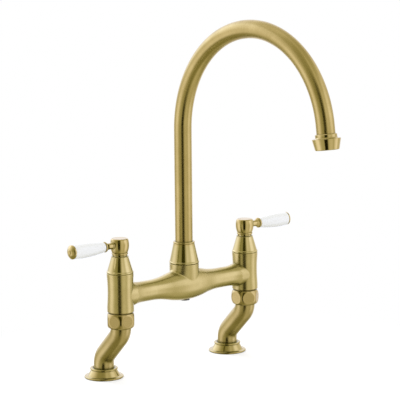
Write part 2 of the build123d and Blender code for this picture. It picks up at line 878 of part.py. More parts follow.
def spout_path():
    """Centre line of the tube in the YZ plane: riser, arch in two bends and a straight tip."""
    half = math.radians(45)
    fall = math.radians(arch_deg - 90)
    rise_mid = (0, -arch_r * (1 - math.cos(half)), arch_z + arch_r * math.sin(half))
    top = fall_spot(0)
    end = fall_spot(fall)
    tip = (0, end[1] - tip_run * math.cos(fall), end[2] - tip_run * math.sin(fall))
    riser = Line((0, 0, tube_low), (0, 0, arch_z))
    rise = ThreePointArc((0, 0, arch_z), rise_mid, top)
    return Wire([riser, rise, ThreePointArc(top, fall_spot(fall / 2), end), Line(end, tip)])


def spout_tube():
    """Gooseneck tube of even wall."""
    path = spout_path()
    start = Plane(origin=(0, 0, tube_low), z_dir=(0, 0, 1))
    return sweep(start * Circle(spout_r), path) - sweep(start * Circle(spout_bore_r), path)


def at_tip(shape):
    """Places a shape that was turned about Z, with +Z as the water's way, at the tube's end."""
    fall = math.radians(arch_deg - 90)
    x, y, z = fall_spot(fall)
    tip = (x, y - tip_run * math.cos(fall), z - tip_run * math.sin(fall))
    way = Plane(origin=tip, x_dir=(1, 0, 0), z_dir=(0, -math.cos(fall), -math.sin(fall)))
    return way.location * shape


nozzle_start = -nozzle_from_tip
nozzle_end = nozzle_start + nozzle_l
nozzle_thread_r = spout_r + aerator_out + fit_gap
aerator_start = tip_stop_l + aerator_washer_h
aerator_end = nozzle_end - aerator_gap_in


def nozzle():
    """Turned nozzle: a ring over the tube, a sharp lip and a taper down to the mouth."""
    ring_r = spout_r + nozzle_ring_out
    lip_r = spout_r + nozzle_lip_out
    mouth_r = spout_r + nozzle_mouth_out
    socket = spout_r + fit_gap
    lip_start = nozzle_start + nozzle_ring_l
    cove_mid = (ring_r + 0.22 * (lip_r - ring_r), lip_start + 0.75 * nozzle_lip_l)
    body = turned(
        (socket, nozzle_start),
        (ring_r - 0.7, nozzle_start),
        (ring_r, nozzle_start + 0.7),
        (ring_r, lip_start - 0.4),
        (cove_mid, (lip_r - 0.4, lip_start + nozzle_lip_l)),
        (lip_r, lip_start + nozzle_lip_l + 0.4),
        (mouth_r, nozzle_end - nozzle_edge),
        (mouth_r - nozzle_edge, nozzle_end),
        (nozzle_thread_r, nozzle_end),
        (nozzle_thread_r, tip_stop_l),
        (spout_bore_r - tip_ledge, tip_stop_l),
        (spout_bore_r - tip_ledge, 0),
        (socket, 0),
    )
    return at_tip(body)


def aerator_washer():
    """Rubber washer above the aerator."""
    outer = nozzle_thread_r - 0.1
    return at_tip(ring(outer - aerator_washer_w, outer, tip_stop_l, aerator_start))


def aerator():
    """Screwed-in aerator: a cup whose outlet face is a honeycomb of round holes."""
    outer = nozzle_thread_r - fit_gap
    cup = rod(outer, aerator_start, aerator_end)
    cup -= rod(outer - aerator_wall, aerator_start - 1, aerator_end - aerator_face_h)
    holes = []
    for column in range(-aerator_rings, aerator_rings + 1):
        for row in range(-aerator_rings, aerator_rings + 1):
            x = aerator_pitch * (column + row / 2)
            y = aerator_pitch * row * math.sqrt(3) / 2
            if math.hypot(x, y) < aerator_rings * aerator_pitch + 0.1:
                holes.append(Pos(x, y, 0) * rod(aerator_hole_r, aerator_start, aerator_end + 1))
    return at_tip(cup - holes)


# ---------------------------------------------------------------- writing out
def save(name, shape):
    """Writes one node."""
    shape.label = name
    export_step(shape, "parts/" + name + ".step")


def placed_side(name, side):
    """Writes every piece of one side; side is -1 on the left and 1 on the right."""
    foot = Pos(side * half_pitch, 0, 0)
    column = Pos(side * half_pitch, pillar_y, 0)
    handle = column if side > 0 else column * Rotation(0, 0, 180)
    nut_turn = left_nut_turn if side < 0 else right_nut_turn
    save(name + "_deck_seal", foot * deck_seal())
    save(name + "_deck_flange", foot * deck_flange())
    save(name + "_leg", foot * leg())
    save(name + "_union_nut", column * union_nut(nut_turn))
    save(name + "_union_washer", column * union_washer())
    save(name + "_pillar", column * pillar(-side))
    save(name + "_seat_seal", column * seat_seal())
    save(name + "_fixed_disc", column * fixed_disc())
    save(name + "_moving_disc", column * moving_disc())
    save(name + "_cartridge_body", column * cartridge_body())
    save(name + "_spindle", column * spindle())
    save(name + "_shroud", column * shroud())
    save(name + "_hub_ring", column * hub_ring())
    save(name + "_hub", handle * hub())
    save(name + "_hub_screw", column * hub_screw())
    save(name + "_hub_cap", column * hub_cap())
    save(name + "_lever_neck", handle * lever_neck())
    save(name + "_ceramic_lever", handle * ceramic_lever())
    save(name + "_end_cap", handle * end_cap())


def main():
    os.makedirs("parts", exist_ok=True)
    placed_side("left", -1)
    placed_side("right", 1)
    middle = Pos(0, pillar_y, 0)
    save("bridge", middle * bridge())
    save("swivel_bush", middle * swivel_bush())
    save("spout_spigot", middle * spout_spigot())
    save("spout_seals", middle * spout_seals())
    save("spout_screw", middle * spout_screw())
    save("spout_collar", middle * spout_collar())
    save("spout_tube", middle * spout_tube())
    save("nozzle", middle * nozzle())
    save("aerator_washer", middle * aerator_washer())
    save("aerator", middle * aerator())


main()
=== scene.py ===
# The looks of a bridge kitchen tap in brushed brass with white ceramic levers.
# Outlines are in millimetres and become metres when a mesh is made. +Z is up, +X runs
# along the bridge to the right-hand valve, and -Y points to the person at the sink.
import json
import math

import bmesh
import bpy
import numpy as np
from mathutils import Matrix, Vector


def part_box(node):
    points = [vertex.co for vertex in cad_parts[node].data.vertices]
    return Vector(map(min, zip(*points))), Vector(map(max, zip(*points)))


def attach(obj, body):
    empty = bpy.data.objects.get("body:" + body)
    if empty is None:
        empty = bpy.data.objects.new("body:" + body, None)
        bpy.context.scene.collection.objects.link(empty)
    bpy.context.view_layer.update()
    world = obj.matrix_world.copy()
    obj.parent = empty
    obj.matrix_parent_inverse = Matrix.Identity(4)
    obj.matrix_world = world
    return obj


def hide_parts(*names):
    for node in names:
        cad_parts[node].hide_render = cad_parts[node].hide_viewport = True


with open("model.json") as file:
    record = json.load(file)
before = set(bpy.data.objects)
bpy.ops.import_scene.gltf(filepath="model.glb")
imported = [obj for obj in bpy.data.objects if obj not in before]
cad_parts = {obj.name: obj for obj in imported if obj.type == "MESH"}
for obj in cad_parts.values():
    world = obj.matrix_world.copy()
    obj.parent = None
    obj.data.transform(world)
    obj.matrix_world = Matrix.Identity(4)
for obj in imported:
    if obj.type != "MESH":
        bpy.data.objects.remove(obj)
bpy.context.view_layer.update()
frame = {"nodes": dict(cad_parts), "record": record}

MM = 0.001
SIDES = {"left": -1, "right": 1}

# ------------------------------------------------------------ driving sizes, mm
half_pitch = 100.0  # the deck holes lie this far to each side
crank_offset = 34.0  # the bridge stands this far in front of the deck holes
turning_gap = 0.3  # round what can turn in its seat
fit_gap = 0.05  # round what fits into its seat and stays

flange_foot_r = 19.5
flange_foot_h = 3.0
flange_rim_h = 2.4
flange_ring_r = 16.9
flange_ring_h = 2.2
flange_neck_in = 1.1
flange_dish = 1.2
cove_hollow = 0.36  # at 0.5 the cove would be a straight slope
leg_r = 12.25
water_r = 7.5
leg_foot_h = 2.4
leg_bend_r = 20.0
leg_collar_h = 3.0
crank_deg = 45.0
low_corner_h = 25.0
inlet_r = 9.3
inlet_depth = 14.0
inlet_edge = 0.5

union_r = 13.5
union_play = 0.25
washer_h = 1.5
nut_flats = 32.0
nut_flat_r = 7.4
nut_foot = 1.4
nut_lip_h = 3.0
nut_show = 1.5
nut_turns = {-1: 52.0, 1: 33.0}  # how far the left and the right nut are screwed round, degrees

pillar_r = 16.0
pillar_band_h = 6.5
pillar_waist = 0.8
bridge_rise = 19.2
shroud_bead_h = 2.6
shroud_step = 0.95
shroud_top_r = 10.25
shroud_top_h = 1.5
shroud_lip_h = 1.1
shroud_lip_out = 0.25
stem_hole_r = 7.3

hub_neck_r = 9.0
hub_neck_h = 1.6
hub_ring_r = 9.9
hub_tail_r = 6.5
hub_foot_r = 9.6
hub_r = 11.3
hub_top_r = 10.3
hub_edge = 0.9
hub_cap_r = 7.9
hub_cap_h = 1.6
lever_rise = 9.1

neck_spigot_r = 3.0
neck_spigot_from = 5.8  # from the spindle's axis
neck_r = 3.8
neck_shoulder_r = 4.5
neck_flare_r = 6.3
neck_flare_l = 6.0
neck_bead_l = 2.4
lever_root_r = 6.2
lever_belly_r = 9.0
lever_belly_at = 31.0
lever_end_r = 8.5
lever_rod_r = 2.5
lever_rod_short = 2.0
lever_cap_rim = 1.8
lever_button_r = 3.0
lever_button_h = 0.9

bridge_r = 12.3
belly_r = 19.1
belly_half_l = 55.0
flare_l = 15.0
flare_out = 2.2
boss_r = 17.9
boss_blend = 3.5
boss_edge = 0.5
bush_r = 11.5
screw_recess_r = 6.5
screw_recess_h = 2.4
screw_bore_r = 3.05
screw_recess_low = 1.4  # the recess starts this far above the belly's lowest line
arm_bite = 0.25  # how far the arms reach into the pillars' sides
patch_half_l = 32.0  # the part of the bridge that the boss and the recess are let into
patch_half_turn = math.radians(105)

spout_r = 10.7
spout_wall = 1.2
arch_r = 126.0
arch_fall_r = 117.3
arch_deg = 173.0
tip_run = 15.3
collar_bead_h = 2.6
collar_ring_h = 2.4
collar_top_r = 13.0
collar_grip = 11.0
collar_wall = 2.2
collar_groove = 0.35

nozzle_ring_r = 12.45
nozzle_ring_l = 4.0
nozzle_lip_r = 16.4
nozzle_lip_l = 1.1
nozzle_mouth_r = 13.8
nozzle_from_tip = 7.6
nozzle_l = 17.9
nozzle_ledge_h = 1.4
aerator_r = 11.15
aerator_hole_r = 0.85
aerator_pitch = 2.6
aerator_rings = 3
aerator_face_h = 1.4
aerator_wall = 1.3
aerator_low = 2.9
aerator_high = 9.4


# ------------------------------------------------------- places, from the frame
def heights(node):
    """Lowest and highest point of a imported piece, in mm."""
    low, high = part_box(node)
    return low.z / MM, high.z / MM


def reaches(node):
    """From where to where a right-hand piece lies to the right of its axis, in mm."""
    low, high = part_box(node)
    return low.x / MM - half_pitch, high.x / MM - half_pitch


flange_top = heights("right_deck_flange")[1]
flange_r = reaches("right_deck_flange")[1]
leg_foot_r = reaches("right_leg")[1]
leg_low, leg_top = heights("right_leg")
nut_low, nut_top = heights("right_union_nut")
shroud_low, shroud_top = heights("right_shroud")
hub_ring_low, hub_foot = heights("right_hub_ring")
hub_top = heights("right_hub")[1]
bridge_top = heights("bridge")[1]
collar_low, collar_top = heights("spout_collar")
tube_low = heights("spout_tube")[0]
pillar_low = nut_top + nut_show
pillar_top = shroud_low
waist_low = pillar_low + pillar_band_h
waist_high = pillar_top - pillar_band_h / 2
waist_mid = (waist_low + waist_high) / 2
bridge_z = pillar_low + bridge_rise
lever_z = hub_foot + lever_rise
ceramic_start, ceramic_end = reaches("right_ceramic_lever")
lever_end = reaches("right_end_cap")[1]
arch_z = heights("spout_tube")[1] - arch_r - spout_r


# --------------------------------------------------------------------- outlines
ON_AXIS = 1e-6  # mm
SAME_POINT = 1e-5  # mm
SMOOTH_TURN = math.radians(5)  # a corner that turns less stays as it is
SHARPEST_TURN = 1.6
MOST_CUT = 0.45  # the share of a stretch that one softened corner may take


class Straight:
    """A straight stretch of an outline."""

    def __init__(self, start, end):
        self.start, self.end = Vector(start), Vector(end)
        self.length = (self.end - self.start).length

    def point(self, share):
        return self.start.lerp(self.end, share)

    def heading(self, share):
        return (self.end - self.start).normalized()

    def steps(self, longest):
        return max(1, math.ceil(self.length / longest))


class Round:
    """A round stretch of an outline, through its middle point."""

    degrees_per_step = 4.0

    def __init__(self, start, middle, end):
        a, b, c = Vector(start), Vector(middle), Vector(end)
        double = 2 * (a.x * (b.y - c.y) + b.x * (c.y - a.y) + c.x * (a.y - b.y))
        squares = [point.length_squared for point in (a, b, c)]
        x = squares[0] * (b.y - c.y) + squares[1] * (c.y - a.y) + squares[2] * (a.y - b.y)
        y = squares[0] * (c.x - b.x) + squares[1] * (a.x - c.x) + squares[2] * (b.x - a.x)
        self.centre = Vector((x / double, y / double))
        self.radius = (a - self.centre).length
        turns = [math.atan2(point.y - self.centre.y, point.x - self.centre.x) for point in (a, b, c)]
        self.first = turns[0]
        self.sweep = (turns[2] - turns[0]) % math.tau
        if (turns[1] - turns[0]) % math.tau > self.sweep:
            self.sweep -= math.tau
        self.length = abs(self.sweep) * self.radius

    def point(self, share):
        turn = self.first + self.sweep * share
        return self.centre + self.radius * Vector((math.cos(turn), math.sin(turn)))

    def heading(self, share):
        turn = self.first + self.sweep * share
        return math.copysign(1, self.sweep) * Vector((-math.sin(turn), math.cos(turn)))

    def steps(self, longest):
        by_turn = math.degrees(abs(self.sweep)) / self.degrees_per_step
        return max(4, math.ceil(by_turn), math.ceil(self.length / longest))


def stretches_of(corners, closed):
    """The straight and round stretches; a pair of points stands for an arc's middle and end."""
    stretches = []
    last = corners[0]
    for corner in corners[1:] + (corners[:1] if closed else ()):
        if isinstance(corner[0], tuple):
            middle, end = corner
            stretches.append(Round(last, middle, end))
        else:
            end = corner
            stretches.append(Straight(last, end))
        last = end
    return stretches


def corner_points(before, after, cut_before, cut_after, steps=6):
    """Points round a softened corner, with headings."""
    start = before.point(1 - cut_before / before.length)
    end = after.point(cut_after / after.length)
    corner = before.point(1)
    points = []
    for step in range(1, steps):
        share = step / steps
        point = (1 - share) ** 2 * start + 2 * share * (1 - share) * corner + share**2 * end
        heading = ((1 - share) * (corner - start) + share * (end - corner)).normalized()
        points.append((point, heading))
    return points


def sampled(corners, soften, longest=1e9):
    """An outline's (radius, height, normal radius, normal height, distance along) rows.

    An outline that starts and ends on the axis is open there, and any other is closed.
    """
    closed = corners[0][0] > ON_AXIS
    stretches = stretches_of(corners, closed)
    count = len(stretches)
    cuts = []
    for index, stretch in enumerate(stretches):
        after = stretches[(index + 1) % count]
        last = index == count - 1 and not closed
        turn = stretch.heading(1).angle(after.heading(0))
        smooth = last or turn < SMOOTH_TURN
        reach = 0 if smooth else soften * math.tan(min(turn, SHARPEST_TURN) / 2)
        cuts.append(min(reach, MOST_CUT * stretch.length, MOST_CUT * after.length))
    rows = []
    for index, stretch in enumerate(stretches):
        first = cuts[index - 1] / stretch.length if index or closed else 0
        final = 1 - cuts[index] / stretch.length
        steps = stretch.steps(longest)
        for step in range(steps + 1):
            share = first + (final - first) * step / steps
            rows.append((stretch.point(share), stretch.heading(share)))
        if cuts[index]:
            after = stretches[(index + 1) % count]
            rows += corner_points(stretch, after, cuts[index], cuts[index])
    kept = [rows[0]]
    for point, heading in rows[1:]:
        if (point - kept[-1][0]).length > SAME_POINT:
            kept.append((point, heading))
    if closed and (kept[0][0] - kept[-1][0]).length < SAME_POINT:
        kept.pop()
    table = np.array([(point.x, point.y, heading.y, -heading.x) for point, heading in kept])
    if signed_area(table) < 0:
        table = table[::-1] * np.array((1, 1, -1, -1))
    steps = np.linalg.norm(np.diff(table[:, :2], axis=0), axis=1)
    return np.column_stack((table, np.concatenate(((0,), np.cumsum(steps)))))


def signed_area(table):
    """Twice the area that an outline goes round; it is positive when the solid lies to its left."""
    r, z = table[:, 0], table[:, 1]
    return float(np.sum(r * np.roll(z, -1) - np.roll(r, -1) * z))


# ----------------------------------------------------------------------- meshes
def make_piece(name, points, faces, normals, along, brush):
    """A mesh object from points in mm, with its shading and the direction of its brushing."""
    mesh = bpy.data.meshes.new(name)
    mesh.from_pydata((points * MM).tolist(), [], faces)
    mesh.shade_smooth()
    note(mesh, "along", "FLOAT", along * MM)
    note(mesh, "brush", "FLOAT_VECTOR", brush)
    mesh.normals_split_custom_set_from_vertices(normals.tolist())
    return shown(name, mesh)


def shown(name, mesh):
    """An object for a mesh, in the scene."""
    piece = bpy.data.objects.new(name, mesh)
    bpy.context.scene.collection.objects.link(piece)
    return piece


def note(mesh, label, kind, values):
    """Writes a number or a direction at each point of a mesh, for its finish to read."""
    field = "vector" if kind == "FLOAT_VECTOR" else "value"
    values = np.ascontiguousarray(values, np.float32).ravel()
    mesh.attributes.new(label, kind, "POINT").data.foreach_set(field, values)


def spots_of(mesh):
    """A mesh's points, in metres."""
    points = np.empty(len(mesh.vertices) * 3, np.float32)
    mesh.vertices.foreach_get("co", points)
    return points.reshape(-1, 3).astype(float)


def place_all(place, points, *directions):
    """Moves points, and turns directions, by a placing matrix in mm."""
    matrix = np.array(place)
    moved = points @ matrix[:3, :3].T + matrix[:3, 3]
    return [moved] + [direction @ matrix[:3, :3].T for direction in directions]


def straight_up(distance):
    """The centre line of a piece turned about Z: its point and its heading."""
    return Vector((0, 0, distance)), Vector((0, 0, 1))


def turned(name, corners, place=Matrix(), soften=0.3, way=straight_up, longest=1e9, columns=120):
    """Turns an outline about its axis, or carries it along a bent centre line in the YZ plane."""
    rows = sampled(corners, soften, longest)
    closed = int(rows[0, 0] > ON_AXIS)
    angles = np.arange(columns) * math.tau / columns
    across = Vector((1, 0, 0))
    points, normals, brush, along, starts = [], [], [], [], []
    for r, z, nr, nz, distance in rows:
        origin, heading = way(z)
        other = heading.cross(across)
        pole = r < ON_AXIS
        turn = angles[:1] if pole else angles
        outward = np.outer(np.cos(turn), across) + np.outer(np.sin(turn), other)
        starts.append((len(points), pole))
        points.extend(np.array(origin) + r * outward)
        normals.extend(nz * np.array([heading]) + (0 if pole else nr) * outward)
        brush.extend(np.outer(-np.sin(turn), across) + np.outer(np.cos(turn), other))
        along.extend([distance] * len(turn))
    faces = lathe_faces(starts, columns, closed)
    points, normals, brush = place_all(place, np.array(points), np.array(normals), np.array(brush))
    return make_piece(name, points, faces, normals, np.array(along), brush)


def lathe_faces(starts, columns, closed):
    """Quads between neighbouring rows, and triangles round each pole."""
    faces = []
    for (low, low_pole), (high, high_pole) in zip(starts, starts[1:] + starts[:closed]):
        for column in range(columns):
            after = (column + 1) % columns
            if low_pole and high_pole:
                continue
            if low_pole:
                faces.append((low, high + after, high + column))
            elif high_pole:
                faces.append((low + column, low + after, high))
            else:
                faces.append((low + column, low + after, high + after, high + column))
    return faces


def bent_way(runs, start):
    """A centre line that starts upwards; each run is (length, degrees turned towards -Y)."""

    def way(distance):
        y, z, lean = 0.0, start, 0.0
        left = distance - start
        for index, (length, turn_deg) in enumerate(runs):
            last = index == len(runs) - 1
            part = left if last else min(left, length)
            turn = math.radians(turn_deg) * part / length
            if turn_deg:
                radius = length / math.radians(turn_deg)
                y += radius * (math.cos(lean + turn) - math.cos(lean))
                z += radius * (math.sin(lean + turn) - math.sin(lean))
            else:
                y -= part * math.sin(lean)
                z += part * math.cos(lean)
            lean += turn
            left -= part
            if left <= 0:
                break
        return Vector((0, y, z)), Vector((0, -math.sin(lean), math.cos(lean)))

    return way


def bead(radius, start, end, inset):
    """Corners of a round bead that swells out of a radius smaller by the inset."""
    return (radius - inset, start), ((radius, (start + end) / 2), (radius - inset, end))


def at(x, y=0.0, z=0.0):
    """A placing matrix that only moves."""
    return Matrix.Translation((x, y, z))


LYING = Matrix(((0, 0, 1, 0), (0, 1, 0, 0), (-1, 0, 0, 0), (0, 0, 0, 1)))  # lays +Z along +X


def finish(piece, body, slot, material, *nodes):
    """Gives a piece its finish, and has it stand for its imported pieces."""
    piece.data.materials.clear()
    piece.data.materials.append(material)
    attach(piece, body)
    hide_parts(*nodes)


# ------------------------------------------------------------- feet and legs
def deck_flange(name, place):
    """Stepped cover ring: a ringed neck, a cone, a cove and a round rim."""
    bore = leg_r + turning_gap
    neck = flange_ring_r - flange_neck_in
    ring_low = flange_top - flange_ring_h
    cavity_r = leg_foot_r + turning_gap
    cavity_top = leg_low + leg_foot_h + turning_gap
    rim_mid = flange_rim_h / 2
    cove_end = flange_r - rim_mid
    cove_mid_r = flange_foot_r + cove_hollow * (cove_end - flange_foot_r)
    cove_mid_h = flange_rim_h + cove_hollow * (flange_foot_h - flange_rim_h)
    corners = (
        (bore, cavity_top),
        (bore, flange_top - flange_dish),
        (bore + flange_dish, flange_top),
        *bead(flange_ring_r, flange_top, ring_low, flange_neck_in),
        (neck - 0.15, ring_low - 0.3),
        (flange_foot_r, flange_foot_h),
        ((cove_mid_r, cove_mid_h), (cove_end, flange_rim_h)),
        ((flange_r, rim_mid), (cove_end, 0)),
        (cavity_r, 0),
        (cavity_r, cavity_top),
    )
    return turned(name, corners, place, soften=0.35)


def leg(name, place):
    """Cranked leg: a foot, an S bend and the collar that the nut pulls up."""
    reach = leg_bend_r * math.tan(math.radians(crank_deg / 2))
    slope = crank_offset / math.sin(math.radians(crank_deg))
    high_corner_h = low_corner_h + crank_offset / math.tan(math.radians(crank_deg))
    bend_l = leg_bend_r * math.radians(crank_deg)
    runs = (
        (low_corner_h - reach - leg_low, 0),
        (bend_l, crank_deg),
        (slope - 2 * reach, 0),
        (bend_l, -crank_deg),
        (leg_top - high_corner_h - reach, 0),
    )
    top = leg_low + sum(length for length, turn in runs)
    foot_top = leg_low + leg_foot_h
    corners = (
        (inlet_r + inlet_edge, leg_low),
        (leg_foot_r, leg_low),
        (leg_foot_r, foot_top),
        (leg_r, foot_top),
        (leg_r, top - leg_collar_h),
        (union_r - union_play, top - leg_collar_h),
        (union_r - union_play, top),
        (water_r, top),
        (water_r, leg_low + inlet_depth),
        (inlet_r, leg_low + inlet_depth),
        (inlet_r, leg_low + inlet_edge),
    )
    return turned(name, corners, place, way=bent_way(runs, leg_low), longest=1.0, columns=96)


# ------------------------------------------------------------------ union nut
def union_nut(name, place):
    """Ball-shaped hexagon nut: each flat is a full circle cut from the ball."""
    half_flats = nut_flats / 2
    ball_r = math.hypot(half_flats, nut_flat_r)
    half_h = (nut_top - nut_low) / 2
    top_r = math.sqrt(ball_r**2 - half_h**2)
    shoulder_r = math.sqrt(ball_r**2 - (half_h - nut_foot) ** 2)
    corners = (
        (leg_r + turning_gap, nut_low),
        (shoulder_r - nut_foot, nut_low),
        (shoulder_r, nut_low + nut_foot),
        ((ball_r, nut_low + half_h), (top_r, nut_top)),
        (union_r + fit_gap, nut_top),
        (union_r + fit_gap, nut_low + nut_lip_h),
        (leg_r + turning_gap, nut_low + nut_lip_h),
    )
    piece = turned(name, corners, soften=0.6, longest=0.3, columns=360)
    turn_deg = nut_turns[math.copysign(1, place.translation.x)]
    flatten(piece.data, half_flats * MM, math.radians(turn_deg))
    piece.data.transform(Matrix.Translation(place.translation * MM))
    return piece


def flatten(mesh, half_flats, turn, blend=0.00045):
    """Cuts six flats into a round mesh, each with a small round edge, and notes them as satin."""
    points = spots_of(mesh)
    reach = np.hypot(points[:, 0], points[:, 1])
    angle = np.arctan2(points[:, 1], points[:, 0]) - turn
    from_flat = (angle % (math.pi / 3)) - math.pi / 6
    flat = half_flats / np.cos(from_flat)
    gap = np.clip(blend - np.abs(reach - flat), 0, None) / blend
    cut = np.minimum(reach, flat) - gap**2 * blend / 4
    outside = reach > half_flats - 3 * blend
    share = np.where(outside, cut / reach, 1.0)
    points[:, :2] *= share[:, None]
    mesh.vertices.foreach_set("co", points.astype(np.float32).ravel())
    note(mesh, "satin", "FLOAT", np.clip((reach - flat) / blend, 0, 1))
    if mesh.has_custom_normals:
        bpy.context.view_layer.update()
        mesh.attributes.remove(mesh.attributes["custom_normal"])
    mesh.update()


# --------------------------------------------------------------- valve pillars
def waist_radius(height):
    """Radius of a pillar's waisted outside at a height."""
    if not waist_low < height < waist_high:
        return pillar_r
    waist = pillar_r - pillar_waist
    curve = Round((pillar_r, waist_low), (waist, waist_mid), (pillar_r, waist_high))
    return curve.centre.x - math.sqrt(curve.radius**2 - (height - curve.centre.y) ** 2)


def pillar(name, place):
    """Waisted pillar between the nut and the shroud."""
    corners = (
        (0, leg_top + washer_h),
        (union_r, leg_top + washer_h),
        (union_r, pillar_low),
        (pillar_r, pillar_low),
        (pillar_r, waist_low),
        ((pillar_r - pillar_waist, waist_mid), (pillar_r, waist_high)),
        (pillar_r, pillar_top),
        (0, pillar_top),
    )
    return turned(name, corners, place, soften=0.6, longest=2.0)


def shroud(name, place):
    """Conical cover with a bead at its foot and a fine lip at its top."""
    bead_r = pillar_r + 0.15
    bead_top = shroud_low + shroud_bead_h
    foot_r = bead_r - shroud_step
    lip_low = shroud_top - shroud_lip_h
    corners = (
        (bead_r - 3.0, shroud_low),
        *bead(bead_r, shroud_low, bead_top, 0.7),
        (foot_r, bead_top + 0.5),
        (shroud_top_r, lip_low),
        (shroud_top_r + shroud_lip_out, lip_low + 0.3),
        (shroud_top_r + shroud_lip_out, shroud_top - 0.3),
        (shroud_top_r - 0.1, shroud_top),
        (stem_hole_r, shroud_top),
        (stem_hole_r, shroud_top - shroud_top_h),
        (shroud_top_r - 1.2, shroud_top - shroud_top_h),
        (foot_r - 1.8, bead_top + 0.5),
    )
    return turned(name, corners, place, soften=0.25)


# ------------------------------------------------------------ hubs and levers
def hub_ring(name, place):
    """Turned ring between the shroud and the hub: a thin neck and a bead."""
    neck_top = hub_ring_low + hub_neck_h
    corners = (
        (hub_tail_r, hub_ring_low),
        (hub_neck_r, hub_ring_low),
        (hub_neck_r, neck_top),
        *bead(hub_ring_r, neck_top, hub_foot, 0.6),
        (hub_tail_r, hub_foot),
    )
    return turned(name, corners, place, soften=0.2)


def hub(name, place):
    """Barrel-shaped hub, open at its top for the cap."""
    corners = (
        (0, hub_ring_low),
        (hub_tail_r - fit_gap, hub_ring_low),
        (hub_tail_r - fit_gap, hub_foot),
        (hub_foot_r - 0.4, hub_foot),
        (hub_foot_r, hub_foot + 0.4),
        ((hub_r, lever_z), (hub_top_r, hub_top - hub_edge)),
        (hub_top_r - hub_edge, hub_top),
        (hub_cap_r + fit_gap, hub_top),
        (hub_cap_r + fit_gap, hub_top - hub_cap_h),
        (0, hub_top - hub_cap_h),
    )
    return turned(name, corners, place, soften=0.35, longest=0.8)


def hub_cap(name, place):
    """Flat cap let into the hub's top."""
    corners = (
        (0, hub_top - hub_cap_h),
        (hub_cap_r, hub_top - hub_cap_h),
        (hub_cap_r, hub_top),
        (0, hub_top),
    )
    return turned(name, corners, place, soften=0.35)


def lever_neck(name, place):
    """Brass neck with a trumpet flare and a bead."""
    flare_start = ceramic_start - neck_bead_l - neck_flare_l
    flare_end = ceramic_start - neck_bead_l
    flare_mid = (neck_r + 0.3 * (neck_flare_r - neck_r), flare_start + 0.6 * neck_flare_l)
    bead_mid = (neck_flare_r, flare_end + 0.5 * neck_bead_l)
    rod_end = lever_end - lever_rod_short
    corners = (
        (0, neck_spigot_from),
        (neck_spigot_r, neck_spigot_from),
        (neck_spigot_r, hub_r - 1.0),
        (neck_shoulder_r, hub_r - 1.0),
        (neck_shoulder_r, hub_r + 0.3),
        (neck_r, hub_r + 0.6),
        (neck_r, flare_start),
        (flare_mid, (neck_flare_r - 0.25, flare_end)),
        (bead_mid, (neck_flare_r - 0.9, ceramic_start)),
        (lever_rod_r, ceramic_start),
        (lever_rod_r, rod_end),
        (0, rod_end),
    )
    return turned(name, corners, place, soften=0.2)


def ceramic_lever(name, place):
    """White glazed grip: slim at the neck, fullest two thirds of the way out."""
    edge = 1.2
    bore = lever_rod_r + fit_gap
    belly = ceramic_start + lever_belly_at
    rise_mid = lever_root_r + 0.62 * (lever_belly_r - lever_root_r)
    fall_mid = lever_end_r + 0.75 * (lever_belly_r - lever_end_r)
    corners = (
        (bore, ceramic_start),
        (lever_root_r - edge, ceramic_start),
        ((lever_root_r - 0.3, ceramic_start + 0.3 * edge), (lever_root_r, ceramic_start + edge)),
        ((rise_mid, ceramic_start + 0.45 * lever_belly_at), (lever_belly_r, belly)),
        ((fall_mid, (belly + ceramic_end) / 2), (lever_end_r, ceramic_end - edge / 2)),
        (lever_end_r - edge / 2, ceramic_end),
        (bore, ceramic_end),
    )
    return turned(name, corners, place, soften=0.5, longest=2.0)


def end_cap(name, place):
    """Domed brass cap with a button."""
    rim = lever_end_r - 0.2
    dome_start = ceramic_end + lever_cap_rim
    dome_end = lever_end - lever_button_h
    dome_mid = (0.72 * rim, dome_start + 0.55 * (dome_end - dome_start))
    bore = lever_rod_r + fit_gap
    corners = (
        (bore, ceramic_end),
        (rim, ceramic_end),
        (rim, dome_start - 0.3),
        (rim - 0.4, dome_start),
        (dome_mid, (lever_button_r, dome_end)),
        ((lever_button_r - 0.35, lever_end - 0.25), (lever_button_r - 1.1, lever_end)),
        (0, lever_end),
        (0, lever_end - 1.8),
        (bore, lever_end - 1.8),
    )
    return turned(name, corners, place, soften=0.25)


# ------------------------------------------------------------------ the bridge
def belly_arc_r():
    """Radius of the two arcs that make each side of the belly."""
    half = belly_half_l / 2
    rise = (belly_r - bridge_r) / 2
    return (half**2 + rise**2) / (2 * rise)


def arm_radius(x):
    """Radius of the bridge at a distance from its middle."""
    x = abs(x)
    arc_r = belly_arc_r()
    flare_start = half_pitch - pillar_r - flare_l
    if x <= belly_half_l / 2:
        return math.sqrt(arc_r**2 - x**2) - arc_r + belly_r
    if x <= belly_half_l:
        return bridge_r + arc_r - math.sqrt(arc_r**2 - (belly_half_l - x) ** 2)
    if x <= flare_start:
        return bridge_r
    share = min(1.0, (x - flare_start) / flare_l)
    return bridge_r + flare_out * share**2


def arm_spot(x, turn):
    """A point on the bridge's turned outside and its normal; a turn of 0 is up and +Y follows."""
    step = 0.01
    slope = (arm_radius(x + step) - arm_radius(x - step)) / (2 * step)
    radius = arm_radius(x)
    point = (x, radius * math.sin(turn), radius * math.cos(turn))
    normal = Vector((-slope, math.sin(turn), math.cos(turn))).normalized()
    return point, tuple(normal)


def rim_walk(half_length, half_turn, cells):
    """Points round a patch of the bridge's side, as (x, turn), anticlockwise seen from outside."""
    xs = np.linspace(-half_length, half_length, cells + 1)
    turns = np.linspace(-half_turn, half_turn, cells + 1)
    walk = [(half_length, turn) for turn in turns[:-1]]
    walk += [(x, half_turn) for x in xs[:0:-1]]
    walk += [(-half_length, turn) for turn in turns[:0:-1]]
    walk += [(x, -half_turn) for x in xs[:-1]]
    return walk


